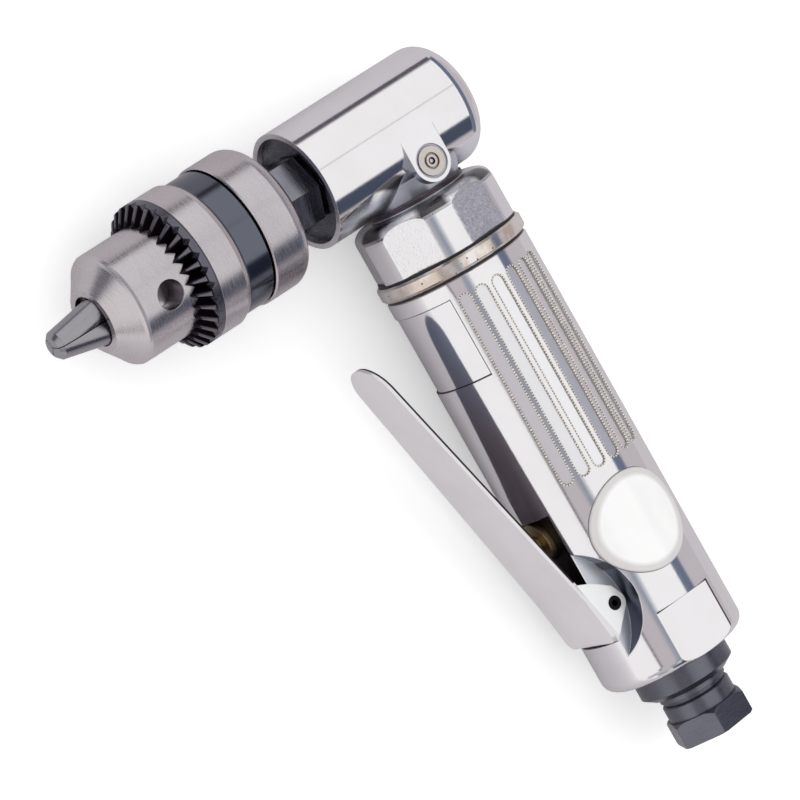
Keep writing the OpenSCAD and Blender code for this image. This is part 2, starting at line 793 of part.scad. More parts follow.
module valve_bushing_seal() {
  color("#1a1a1a") lay() tube_x_at(s_valve, seal_x + seat, seal_x + seal_w - seat, bushing_d, bushing_d - 2 + 2 * seat);
}

module valve_stem() {
  dome = stem_d / 2;
  color("#b8955a") lay() translate([0, 0, -s_valve]) union() {
    bar_x(x_head - eps, stem_tip - dome, stem_d);
    translate([stem_tip - dome, 0, 0]) sphere(d = stem_d);
    bar_x(x_head - head_len, x_head, valve_head_d);
  }
}

module valve_seat_washer() {
  color("#1a1a1a") lay() tube_x_at(s_valve, x_head + seat, x_head + seat_washer_len, valve_head_d, stem_d + 2 * seat);
}

// Spring helix between the chamber floor and the valve head, as one tube
spring_rings = 8;
spring_sides = 6;
spring_r = valve_head_d / 2 - wire_d / 2 - 0.2;
spring_x0 = chamber_end + wire_d / 2 + 0.1;
spring_x1 = x_head - head_len - wire_d / 2 - 0.1;
spring_pitch = (spring_x1 - spring_x0) / spring_turns;

function spring_point(i, j) =
  let (
    a = i * 360 / spring_rings,
    b = j * 360 / spring_sides,
    q = spring_r + wire_d / 2 * cos(b))
  [spring_x0 + spring_pitch * a / 360 + wire_d / 2 * sin(b), q * cos(a), q * sin(a)];

module valve_spring() {
  last = spring_turns * spring_rings;
  n = spring_sides;
  points = [for (i = [0:last], j = [0:n - 1]) spring_point(i, j)];
  sides = [for (i = [0:last - 1], j = [0:n - 1])
    let (k = (j + 1) % n, a = i * n + j, b = i * n + k, c = a + n, d = b + n)
    each [[a, b, d], [a, d, c]]];
  start = [for (j = [1:n - 2]) [0, j + 1, j]];
  end = [for (j = [1:n - 2]) [last * n, last * n + j, last * n + j + 1]];
  color("#8f949b") lay() translate([0, 0, -s_valve]) polyhedron(points, concat(sides, start, end), convexity = 10);
}

// Inlet and exhaust

deflector_edge = 2.6;
groove_len = 1.2;
hex_edge = 1.2;

module exhaust_silencer() {
  color("#6b6257") lay() tube(s_silencer + seat, s_end - 0.5, silencer_d, shank_d + 2 * seat);
}

module exhaust_deflector() {
  r = deflector_d / 2;
  color("#2c2c30") lay() difference() {
    turn_handle([[0, s_end], [r, s_end], [r, s_washer - deflector_edge * 0.7],
      [r - deflector_edge, s_washer], [0, s_washer]]);
    bar(s_end - eps, s_washer + eps, shank_d + 2 * seat);
    for (k = [0:5]) rotate(k * 60 + 30) translate([shank_d / 2 + 2.6, 0, 0]) bar(s_end - eps, s_washer - 3, 2.4);
  }
}

module inlet_washer() {
  color("#34343a") lay() tube(s_washer, s_neck, inlet_neck_d - 0.3, shank_d + 2 * seat);
}

module inlet_bushing() {
  hex_r = inlet_hex / sqrt(3);
  color("#2f2f34") lay() difference() {
    union() {
      bar(s_shank, s_neck + eps, shank_d);
      bar(s_neck, s_neck + groove_len, shank_d + 0.6);
      turn_handle([[0, s_neck + groove_len], [inlet_neck_d / 2 - 0.4, s_neck + groove_len],
        [inlet_neck_d / 2, s_neck + groove_len + 0.5], [inlet_neck_d / 2, s_inlet_hex + eps],
        [0, s_inlet_hex + eps]]);
      intersection() {
        rotate(inlet_turn) at_station(s_inlet_end) cylinder(h = inlet_hex_len, r = hex_r, $fn = 6);
        turn_handle([[0, s_inlet_hex], [hex_r - hex_edge, s_inlet_hex], [hex_r, s_inlet_hex + hex_edge],
          [hex_r, s_inlet_end - 0.6], [hex_r - 0.6, s_inlet_end], [0, s_inlet_end]]);
      }
    }
    bar(s_shank - eps, s_inlet_end + eps, inlet_d - 3);
    bar(s_inlet_end - inlet_depth, s_inlet_end + eps, inlet_d);
    bar(s_screen, s_inlet_end, screen_d + 2 * seat);
  }
}

inlet_turn = 9;
screen_t = 0.6;
screen_d = inlet_d - 1;
s_screen = s_inlet_end - inlet_depth - gap - screen_t;

mesh_d = screen_d * 1.6 / 10.6001;

module inlet_screen() {
  end = s_screen + screen_t;
  color("#9a9da3") lay() difference() {
    bar(s_screen, end, screen_d);
    bar(s_screen - eps, end + eps, mesh_d);
    for (k = [0:5]) rotate(60 * k) translate([screen_d / 4, 0, 0]) bar(s_screen - eps, end + eps, mesh_d);
  }
}

// Air motor

liner_d = motor_d - 2 * seat;
plate_floor = plate_len - shaft_brg[2];
shaft_d = shaft_brg[0];
dowel_d = 2.5;
dowel_reach = motor_d / 2 - 1.8;
rotor_d = cylinder_d - 2 * cylinder_offset - 0.4;
dowel_out = plate_floor - 0.2;

module dowel_bore() {
  translate([0, dowel_reach, 0]) bar(s_cylinder - dowel_out - eps, s_rear_plate + dowel_out + eps, dowel_d + 2 * seat);
}

module ring_gear() {
  color("#7d7f84") lay() difference() {
    bar(s_stack, s_front_plate, liner_d);
    at_station(s_front_plate + eps) linear_extrude(ring_gear_len + 2 * eps)
      rotate(180 / ring_teeth) polygon(gear_points(ring_teeth, planet_module, 1.2, 0.9, -backlash));
  }
}

module front_end_plate() {
  color("#8c8e93") lay() difference() {
    bar(s_front_plate, s_cylinder, liner_d);
    bar(s_front_plate - eps, s_cylinder - plate_floor, shaft_brg[1] + 2 * seat);
    bar(s_front_plate, s_cylinder + eps, shaft_d + 4);
    dowel_bore();
  }
}

module rear_end_plate() {
  s1 = s_bore_end - gasket_t;
  color("#8c8e93") lay() difference() {
    bar(s_rear_plate, s1, liner_d);
    bar(s_rear_plate + plate_floor, s1 + eps, shaft_brg[1] + 2 * seat);
    bar(s_rear_plate - eps, s1, shaft_d + 4);
    translate([port_reach, 0, 0]) bar(s_rear_plate - eps, s1 + eps, port_d);
    translate([-exhaust_reach, 0, 0]) bar(s_rear_plate - eps, s1 + eps, exhaust_d);
    dowel_bore();
  }
}

module cylinder_liner() {
  difference() {
    bar(s_cylinder, s_rear_plate, liner_d);
    translate([cylinder_offset, 0, 0]) bar(s_cylinder - eps, s_rear_plate + eps, cylinder_d);
    dowel_bore();
    for (k = [0:2])
      bar_x_at(s_cylinder + (s_rear_plate - s_cylinder) * (k + 1) / 4, -exhaust_reach, 0, 3);
    translate([-exhaust_reach - 0.2, 0, 0]) bar(s_cylinder + 8, s_rear_plate + eps, 2.6);
  }
}

module cylinder_node() {
  color("#9a9ca1") lay() cylinder_liner();
}

module cylinder_dowel() {
  color("#8f949b") lay() translate([0, dowel_reach, 0]) bar(s_cylinder - dowel_out, s_rear_plate + dowel_out, dowel_d);
}

module motor_gasket() {
  color("#4b4036") lay() difference() {
    tube(s_bore_end - gasket_t, s_bore_end, liner_d, shaft_brg[1] - 2);
    translate([port_reach, 0, 0]) bar(s_bore_end - 2 * gasket_t, s_bore_end + eps, port_d);
    translate([-exhaust_reach, 0, 0]) bar(s_bore_end - 2 * gasket_t, s_bore_end + eps, exhaust_d);
  }
}

module at_front_bearing() {
  at_station(s_front_plate + shaft_brg[2]) children();
}

module at_rear_bearing() {
  at_station(s_bore_end - gasket_t) children();
}

module rotor_front_bearing_outer() {
  color("#a7abb2") lay() at_front_bearing() bearing_outer(shaft_brg);
}

module rotor_rear_bearing_outer() {
  color("#a7abb2") lay() at_rear_bearing() bearing_outer(shaft_brg);
}

module rotor_front_bearing_inner() {
  color("#a7abb2") lay() at_front_bearing() bearing_inner(shaft_brg);
}

module rotor_rear_bearing_inner() {
  color("#a7abb2") lay() at_rear_bearing() bearing_inner(shaft_brg);
}

module rotor_front_bearing_balls() {
  color("#d5d8dd") lay() at_front_bearing() bearing_balls(shaft_brg);
}

module rotor_rear_bearing_balls() {
  color("#d5d8dd") lay() at_rear_bearing() bearing_balls(shaft_brg);
}

vane_depth = 5;
s_rotor = s_cylinder + 0.2;
s_rotor_end = s_rear_plate - 0.2;
s_sun = s_stack + 1;

// Vane slots or, without slack, the vanes in them
module vane_set(slack, out) {
  r = rotor_d / 2;
  for (k = [0:vanes - 1]) rotate(k * 360 / vanes + 36)
    translate([r - vane_depth - slack, -vane_t / 2 - slack, -s_rotor_end + 0.2 - out])
      cube([vane_depth + slack + out, vane_t + 2 * slack, s_rotor_end - s_rotor - 0.4 + 2 * out]);
}

module rotor() {
  color("#84868c") lay() union() {
    difference() {
      bar(s_rotor, s_rotor_end, rotor_d);
      vane_set(seat, 1);
    }
    bar(s_front_plate, s_rotor + eps, shaft_d - 2 * seat);
    bar(s_rotor_end - eps, s_bore_end - gasket_t - 0.5, shaft_d - 2 * seat);
    at_station(s_front_plate + eps) linear_extrude(s_front_plate - s_sun)
      polygon(gear_points(sun_teeth, planet_module, 0.95, 1.15, backlash));
  }
}

module rotor_vanes() {
  color("#5a4632") lay() intersection() {
    vane_set(0, 0);
    bar(s_rotor, s_rotor_end, rotor_d);
  }
}

// Planet stage

planet_reach = planet_module * (sun_teeth + planet_teeth) / 2;
planet_pin_d = 4;
s_planets = s_stack + 1.2;

module planet_carrier() {
  color("#7a7c82") lay() difference() {
    bar(s_carrier, s_carrier + carrier_len, carrier_bore_d - 2);
    bar(s_carrier - eps, s_stack, shaft_d + 2 * seat);
    for (k = [0:planets - 1]) rotate(k * 360 / planets) translate([planet_reach, 0, 0])
      bar(s_carrier - eps, s_stack, planet_pin_d + 2 * seat);
  }
}

module planet_pins() {
  color("#9a9da3") lay() for (k = [0:planets - 1]) rotate(k * 360 / planets) translate([planet_reach, 0, 0])
    bar(s_carrier + 0.2, s_planets + planet_face + 0.4, planet_pin_d);
}

module planet_gear(k) {
  color("#6f7177") lay() rotate((k - 1) * 360 / planets) translate([planet_reach, 0, 0])
    at_station(s_planets + planet_face) linear_extrude(planet_face) difference() {
      rotate(180 / planet_teeth) polygon(gear_points(planet_teeth, planet_module, 0.95, 1.2, backlash));
      circle(d = planet_pin_d + 2 * run);
    }
}

module bevel_pinion() {
  color("#7a7c82") lay() union() {
    rotate([180, 0, 0]) rotate(180 / pinion_teeth) bevel(pinion_teeth, gear_teeth, s_pinion + 1.6);
    bar(s_pinion - 1, s_pinion_brg, 12);
    bar(s_pinion_brg - eps, s_carrier + carrier_len - 0.1, shaft_d - 2 * seat);
  }
}

// Spindle

key_w = 3;
x_stub_end = x_chuck + rear_band;
stub_d = 9.5;
screw_d = 5;
screw_reach = 12;

module spindle() {
  hex_r = spindle_hex / sqrt(3);
  color("#3b3b40") lay() difference() {
    union() {
      bar_x(x_bush + 0.5, x_cavity + 0.5, journal_d);
      bar_x(x_cavity + 0.5 - eps, x_gear + gear_hub + eps, spindle_d);
      bar_x(x_gear + gear_hub, x_spindle_brg, spindle_brg[0] + 4);
      bar_x(x_spindle_brg - eps, x_cap + cap_len + 1, spindle_brg[0] - 2 * seat);
      rotate([hex_turn, 0, 0]) translate([x_cap + cap_len + 1 - eps, 0, 0]) rotate([0, 90, 0])
        cylinder(h = x_chuck - x_cap - cap_len - 1, r = hex_r, $fn = 6);
      bar_x(x_chuck - 2 * eps, x_stub_end, stub_d);
    }
    translate([x_gear - 3, -key_w / 2 - seat, spindle_d / 2 - 1.5]) cube([gear_hub + 3.1, key_w + 2 * seat, 4]);
    bar_x(x_stub_end - screw_reach, x_stub_end + eps, screw_d + 2 * seat);
  }
}

hex_turn = 88;

gear_hub_d = spindle_d + 7;

module bevel_gear() {
  color("#7a7c82") lay() difference() {
    union() {
      rotate([0, 90, 0]) bevel(gear_teeth, pinion_teeth, x_gear + 1.2);
      bar_x(x_gear - 1, x_gear + gear_hub, gear_hub_d);
    }
    bar_x(-x_gear, x_gear + gear_hub + eps, spindle_d + 2 * seat);
    translate([0, -key_w / 2 - seat, 0]) cube([x_gear + gear_hub + eps, key_w + 2 * seat, spindle_d / 2 + 1.5 + seat]);
  }
}

module gear_key() {
  color("#8f949b") lay()
    translate([x_gear - 2.8, -key_w / 2, spindle_d / 2 - 1.5 + seat]) cube([gear_hub + 2.6, key_w, 3 - seat]);
}

// Chuck

chuck_edge = 4;
jaw_tip_r = 4;
waist_drop = 0.7;
jaw_room = chuck_d / 2 - waist_drop - sleeve_wall - jaw_tip_r - gap + run;
jaw_slope = atan(jaw_room / (x_jaw_tip - x_sleeve));
jaw_axis_tip = jaw_tip_r - jaw_d / 2 / cos(jaw_slope);
nose_tip_d = 2 * (jaw_clear(x_nose) + nose_wall);
jaw_len = 48;
jaw_travel = shank_max / 2 / tan(jaw_slope) / cos(jaw_slope);
nut_groove_r = jaw_axis_tip + (x_jaw_tip - x_chuck_nut_end) * tan(jaw_slope) + jaw_d / 2 - 0.6;
shank_bore_d = 10.5;
x_screw_seat = x_stub_end + 3;
screw_head_d = 8.4;
screw_head_len = 4;
key_hole_floor = 8.5;
nose_soft = 0.8;
x_key_hole = x_teeth_end + 5.2;

// Radius that just clears the outside of the jaws at a reach
function jaw_clear(x) =
  jaw_axis_tip + (x_jaw_tip - x) * tan(jaw_slope) + jaw_d / 2 / cos(jaw_slope) + gap - run;

// Rod along one jaw's slope, grown by slack, from the tip back by a length
module jaw_rod(k, slack, length, ahead) {
  rotate([chuck_turn + 60 + k * 360 / jaws, 0, 0]) translate([x_jaw_tip, jaw_axis_tip, 0])
    rotate([0, 90, 0]) rotate([jaw_slope, 0, 0])
      translate([0, 0, -length]) cylinder(h = length + ahead, d = jaw_d + 2 * slack);
}

module chuck_body() {
  r = chuck_d / 2;
  n = nose_d / 2;
  color("#b5b2b0") lay() difference() {
    turn_chuck(concat([[0, x_chuck]], arc([r - chuck_edge, x_chuck + chuck_edge], chuck_edge, -90, 0),
      [[r, x_chuck + rear_band - 0.4], [r - 0.4, x_chuck + rear_band], [n, x_chuck + rear_band],
        [n, x_chuck_nut - gap], [nut_groove_r, x_chuck_nut - gap], [nut_groove_r, x_chuck_nut_end + gap],
        [n, x_chuck_nut_end + gap], [n, x_nose_edge - nose_soft], [n - nose_soft / 2, x_nose_edge],
        [n - nose_soft * 1.5, x_nose_edge + nose_soft * 0.7], [nose_tip_d / 2, x_nose], [0, x_nose]]));
    bar_x(x_chuck - eps, x_stub_end + 0.2, stub_d + 2 * seat);
    bar_x(x_chuck, x_screw_seat + eps, screw_d + 0.6);
    bar_x(x_screw_seat, x_nose + eps, shank_bore_d);
    bar_x(x_nose - 2.4, x_nose + eps, 2 * jaw_clear(x_nose));
    for (k = [0:jaws - 1]) {
      jaw_rod(k, run, jaw_len + jaw_travel + gap, jaw_tip_r);
      rotate([chuck_turn + k * 360 / jaws, 0, 0]) translate([x_key_hole, key_hole_floor, 0])
        rotate([-90, 0, 0]) cylinder(h = chuck_d, d = key_hole_d);
    }
  }
}

module chuck_screw() {
  color("#3a3a3f") lay() difference() {
    union() {
      bar_x(x_stub_end - screw_reach + gap, x_screw_seat + eps, screw_d);
      bar_x(x_screw_seat, x_screw_seat + screw_head_len, screw_head_d);
    }
    translate([x_screw_seat + screw_head_len * 0.4, 0, 0]) rotate([0, 90, 0])
      cylinder(h = screw_head_len, d = screw_head_d * 0.55, $fn = 6);
  }
}

waist_slope = 0.8;
band_edge = 0.7;
rim_line = 0.2;
tooth_root = 1.8;
chuck_nut_d = 2 * jaw_clear(x_chuck_nut) + 4.8;

module chuck_sleeve() {
  r = chuck_d / 2;
  q = rim_d / 2;
  n = nose_d / 2 + 0.15;
  nut_r = chuck_nut_d / 2 + seat;
  rear_r = max(jaw_clear(x_sleeve), nut_r);
  x_widen = x_sleeve + (rear_r - nut_r) / tan(jaw_slope) + 0.1;
  color("#a9a6a4") lay() difference() {
    turn_chuck([
      [rear_r, x_sleeve], [r - waist_drop, x_sleeve], [r - waist_drop, x_band - waist_slope],
      [q - band_edge, x_band], [q, x_band + band_edge * 2], [q, x_tooth_rim - rim_line],
      [q - rim_line, x_tooth_rim], [q, x_tooth_rim + rim_line], [q, x_teeth], [n + 0.4, x_teeth_end],
      [n, x_teeth_end], [n, x_chuck_nut_end + gap], [nut_r, x_chuck_nut_end + gap], [nut_r, x_widen]]);
    for (k = [0:key_teeth - 1]) rotate([chuck_turn + (k + 0.5) * 360 / key_teeth, 0, 0]) tooth_gap();
  }
}

// V-shaped gap between two key teeth, along the tooth cone
module tooth_gap() {
  run_r = rim_d / 2 - nose_d / 2;
  slope = atan(run_r / tooth_len);
  width = PI * rim_d / key_teeth * 0.76;
  translate([x_teeth, rim_d / 2, 0]) rotate([0, 0, -slope]) rotate([0, 90, 0])
    translate([0, 0, -tooth_len]) linear_extrude(3 * tooth_len)
      polygon([[-width / 2, 1], [-width / 2, 0], [0, -tooth_root], [width / 2, 0], [width / 2, 1]]);
}

module chuck_nut() {
  color("#6f7177") lay() turn_chuck([
    [jaw_clear(x_chuck_nut), x_chuck_nut], [chuck_nut_d / 2, x_chuck_nut],
    [chuck_nut_d / 2, x_chuck_nut_end], [jaw_clear(x_chuck_nut_end), x_chuck_nut_end]]);
}

jaw_split = 0.12;
jaw_flat_r = 3;

// One jaw, clipped to its third of the circle so that the three close on the axis
module chuck_jaw(k) {
  third = 40;
  apex = jaw_split / sin(60);
  color("#9c9896") lay() intersection() {
    jaw_rod(k, 0, jaw_len, jaw_tip_r);
    rotate([chuck_turn + 60 + k * 360 / jaws, 0, 0]) rotate([0, 90, 0]) rotate(90)
      translate([0, 0, x_sleeve - third]) linear_extrude(x_jaw_tip - x_sleeve + third)
        polygon([[apex, 0], [apex + third / 2, third * sin(60)], [apex + third, third * sin(60)],
          [apex + third, -third * sin(60)], [apex + third / 2, -third * sin(60)]]);
    turn_chuck([[0, x_sleeve - third], [third, x_sleeve - third], [third, x_jaw_tip + jaw_flat_r - third],
      [jaw_flat_r, x_jaw_tip], [0, x_jaw_tip]]);
  }
}

// Drawing

angle_housing();
grease_fitting();
grease_ball();
bearing_cap();
spindle_bearing_outer();
spindle_rear_bush();
pinion_bearing_outer();
coupling_nut();
upper_seal_ring();
lock_ring();
lower_seal_ring();
handle_housing();
badge();
ring_gear();
front_end_plate();
cylinder_node();  // cylinder
rear_end_plate();
cylinder_dowel();
motor_gasket();
rotor_front_bearing_outer();
rotor_rear_bearing_outer();
valve_bushing();
valve_bushing_seal();
lever_pin();
exhaust_silencer();
exhaust_deflector();
inlet_washer();
inlet_bushing();
inlet_screen();
throttle_lever();
valve_stem();
valve_seat_washer();
valve_spring();
rotor();
rotor_vanes();
rotor_front_bearing_inner();
rotor_rear_bearing_inner();
planet_carrier();
planet_pins();
bevel_pinion();
pinion_bearing_inner();
planet_gear(1);  // planet_gear_1
planet_gear(2);  // planet_gear_2
planet_gear(3);  // planet_gear_3
spindle();
bevel_gear();
gear_key();
spindle_bearing_inner();
spindle_bearing_balls();
pinion_bearing_balls();
rotor_front_bearing_balls();
rotor_rear_bearing_balls();
chuck_body();
chuck_screw();
chuck_sleeve();
chuck_nut();
chuck_jaw(0);  // chuck_jaw_1
chuck_jaw(1);  // chuck_jaw_2
chuck_jaw(2);  // chuck_jaw_3
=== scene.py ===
"""Angle air drill: finishes, beaded flutes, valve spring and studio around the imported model."""
import logging
import math
from dataclasses import dataclass, replace
from enum import Enum
from typing import Any, NamedTuple, Optional, Sequence, Union

import bpy
from mathutils import Matrix, Vector

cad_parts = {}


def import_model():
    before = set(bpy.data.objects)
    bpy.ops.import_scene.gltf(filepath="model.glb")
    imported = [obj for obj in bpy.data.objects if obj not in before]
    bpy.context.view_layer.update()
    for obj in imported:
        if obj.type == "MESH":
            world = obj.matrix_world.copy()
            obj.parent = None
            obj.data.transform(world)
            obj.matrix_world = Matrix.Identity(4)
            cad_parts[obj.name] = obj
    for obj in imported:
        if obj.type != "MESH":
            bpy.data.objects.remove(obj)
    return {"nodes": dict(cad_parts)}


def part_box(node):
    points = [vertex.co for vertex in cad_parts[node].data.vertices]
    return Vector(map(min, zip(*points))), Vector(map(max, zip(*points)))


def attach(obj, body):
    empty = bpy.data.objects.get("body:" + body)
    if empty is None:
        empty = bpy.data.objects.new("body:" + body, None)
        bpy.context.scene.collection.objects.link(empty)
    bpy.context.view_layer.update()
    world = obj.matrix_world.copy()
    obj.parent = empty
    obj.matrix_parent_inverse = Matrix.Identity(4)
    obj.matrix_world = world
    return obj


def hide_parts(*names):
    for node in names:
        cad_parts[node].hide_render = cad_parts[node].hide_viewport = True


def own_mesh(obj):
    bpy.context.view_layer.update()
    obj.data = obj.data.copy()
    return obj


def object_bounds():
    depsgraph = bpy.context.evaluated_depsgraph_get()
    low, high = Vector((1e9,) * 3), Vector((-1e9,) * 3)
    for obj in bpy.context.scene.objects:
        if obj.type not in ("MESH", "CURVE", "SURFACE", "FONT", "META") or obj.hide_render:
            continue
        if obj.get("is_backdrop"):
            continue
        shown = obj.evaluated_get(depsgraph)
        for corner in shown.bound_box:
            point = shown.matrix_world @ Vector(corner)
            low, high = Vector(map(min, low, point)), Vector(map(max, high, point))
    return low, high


logging.basicConfig(level=logging.INFO, format="%(message)s")
log = logging.getLogger("air_drill")

Tree = bpy.types.NodeTree
Socket = bpy.types.NodeSocket
Triple = tuple[float, float, float]

MM = 0.001
# Where the tool frame's origin lies in the row: crossing of the chuck and handle axes
CROSSING = Vector((-85.25, 47.95, 22.7)) * MM
# Reach and radius where the cone of the key teeth starts, and its fall per millimetre of reach
TOOTH_TOP = (80.5, 22.0)
TOOTH_FALL = 1.365
# Station and reach of the lever's bend, and its rise in reach per millimetre towards the head
LEVER_BEND = (138.7, 23.4)
LEVER_RISE = 0.2327
# Flats of the coupling nut, and the first gap between two, from the chuck towards the badge
NUT_FLATS = 6.0
NUT_GAP_TURN = 67.4
BADGE_STATION = 126.5
# Values of a noise pattern between which most of its changes lie
MARK_RANGE = (0.3, 0.7)
CLOUD_RANGE = (0.42, 0.58)
# Share of open sky over a corner, from full painted shade to none
CORNER_RANGE = (0.25, 0.8)
# Part of a pit's radius that has the full colour
PIT_CORE = 0.6
# Lowest roughness of a polished metal and of a soft surface
METAL_MIN_ROUGH = 0.02
SOFT_MIN_ROUGH = 0.05
# Height of the tool marks of a metal and of the grain of a soft surface
METAL_BUMP = 0.2 * MM
SOFT_BUMP = 0.1 * MM
# Rays that look for an inner corner and for an edge to round
CORNER_SAMPLES = 6
ROUND_SAMPLES = 4


def row_point(reach: float, side: float, station: float) -> Vector:
    """Point in the row frame.

    Args:
        reach: Millimetres towards the chuck tip.
        side: Millimetres towards the badge side.
        station: Millimetres down the handle.

    Returns:
        The point in metres.
    """
    return CROSSING + Vector((station, -reach, side)) * MM


def srgb(code: str) -> tuple[float, float, float, float]:
    """Linear colour of an sRGB hex code.

    Args:
        code: Colour such as "#C8C2C3".

    Returns:
        Linear red, green, blue and an alpha of 1.
    """
    values = [int(code[i:i + 2], 16) / 255 for i in (1, 3, 5)]
    linear = [v / 12.92 if v <= 0.04045 else ((v + 0.055) / 1.055) ** 2.4 for v in values]
    return (*linear, 1.0)


def put(tree: Tree, kind: str, links: Optional[dict] = None, values: Optional[dict] = None,
        **settings: Any) -> bpy.types.Node:
    """Adds one node with its settings, input values and links.

    Args:
        tree: Node tree to add to.
        kind: Blender node type.
        links: Input name or index to the output socket that feeds it.
        values: Input name or index to its constant value.
        settings: Node properties.

    Returns:
        The new node.
    """
    node = tree.nodes.new(kind)
    for name, value in settings.items():
        setattr(node, name, value)
    for name, value in (values or {}).items():
        node.inputs[name].default_value = value
    for name, socket in (links or {}).items():
        tree.links.new(socket, node.inputs[name])
    return node


def calc(tree: Tree, operation: str, *terms: Union[Socket, float]) -> Socket:
    """Calculates with sockets and numbers.

    Args:
        tree: Node tree.
        operation: Blender's name of the operation.
        terms: Its inputs in order, each a socket or a number.

    Returns:
        The result.
    """
    links = {i: term for i, term in enumerate(terms) if isinstance(term, Socket)}
    values = {i: term for i, term in enumerate(terms) if i not in links}
    return put(tree, "ShaderNodeMath", links, values, operation=operation).outputs[0]


def calc_vector(tree: Tree, operation: str, vector: Socket, by: Triple) -> Socket:
    """Calculates with a vector socket and a constant vector.

    Args:
        tree: Node tree.
        operation: Blender's name of the operation.
        vector: Vector socket.
        by: The constant.

    Returns:
        The resulting vector.
    """
    node = put(tree, "ShaderNodeVectorMath", {0: vector}, {1: by}, operation=operation)
    return node.outputs[0]


def remap(tree: Tree, value: Socket, source: tuple[float, float],
          target: tuple[float, float] = (0.0, 1.0)) -> Socket:
    """Moves a value from one range to another and holds it there.

    Args:
        tree: Node tree.
        value: Socket to read.
        source: Range of the value, rising.
        target: Range of the result.

    Returns:
        The result.
    """
    ends = {"From Min": source[0], "From Max": source[1], "To Min": target[0], "To Max": target[1]}
    return put(tree, "ShaderNodeMapRange", {"Value": value}, ends).outputs["Result"]


def step(tree: Tree, value: Socket, low: float, high: float) -> Socket:
    """Rises from 0 to 1 as a value goes from low to high; falls where low is the larger one.

    Args:
        tree: Node tree.
        value: Socket to read.
        low: Value where the result is 0.
        high: Value where the result is 1.

    Returns:
        The factor socket.
    """
    if low < high:
        return remap(tree, value, (low, high))
    return remap(tree, value, (high, low), (1.0, 0.0))


def mix(tree: Tree, factor: Socket, first: Union[Socket, str],
        second: Union[Socket, str]) -> Socket:
    """Blends two colours.

    Args:
        tree: Node tree.
        factor: Share of the second colour.
        first: Socket or sRGB hex code of the first colour.
        second: Socket or sRGB hex code of the second colour.

    Returns:
        The colour socket.
    """
    links: dict[str, Socket] = {"Factor": factor}
    values: dict[str, tuple[float, float, float, float]] = {}
    for name, colour in (("A", first), ("B", second)):
        if isinstance(colour, str):
            values[name] = srgb(colour)
        else:
            links[name] = colour
    return put(tree, "ShaderNodeMix", links, values, data_type="RGBA").outputs["Result"]


def noise(tree: Tree, coord: Socket, size_mm: float, detail: float = 2.0,
          roughness: float = 0.5) -> Socket:
    """Cloudy pattern.

    Args:
        tree: Node tree.
        coord: Coordinates of the pattern.
        size_mm: Size of its largest clouds.
        detail: Number of finer layers.
        roughness: Strength of the finer layers.

    Returns:
        The pattern, from 0 to 1.
    """
    values = {"Scale": 1 / (size_mm * MM), "Detail": detail, "Roughness": roughness}
    return put(tree, "ShaderNodeTexNoise", {"Vector": coord}, values).outputs["Fac"]


def bare_material(name: str) -> bpy.types.Material:
    """Makes a material with an empty node tree.

    Args:
        name: Name of the material.

    Returns:
        The material.
    """
    mat = bpy.data.materials.new(name)
    mat.use_nodes = True
    mat.node_tree.nodes.clear()
    return mat


class Grain(Enum):
    """Way in which tool marks run, as stretch of the pattern along X, Y and Z."""

    EVEN = (1.0, 1.0, 1.0)
    ROUND_CHUCK = (0.06, 1.0, 0.06)
    ROUND_HANDLE = (1.0, 0.06, 0.06)
    ALONG_HANDLE = (0.05, 1.0, 1.0)


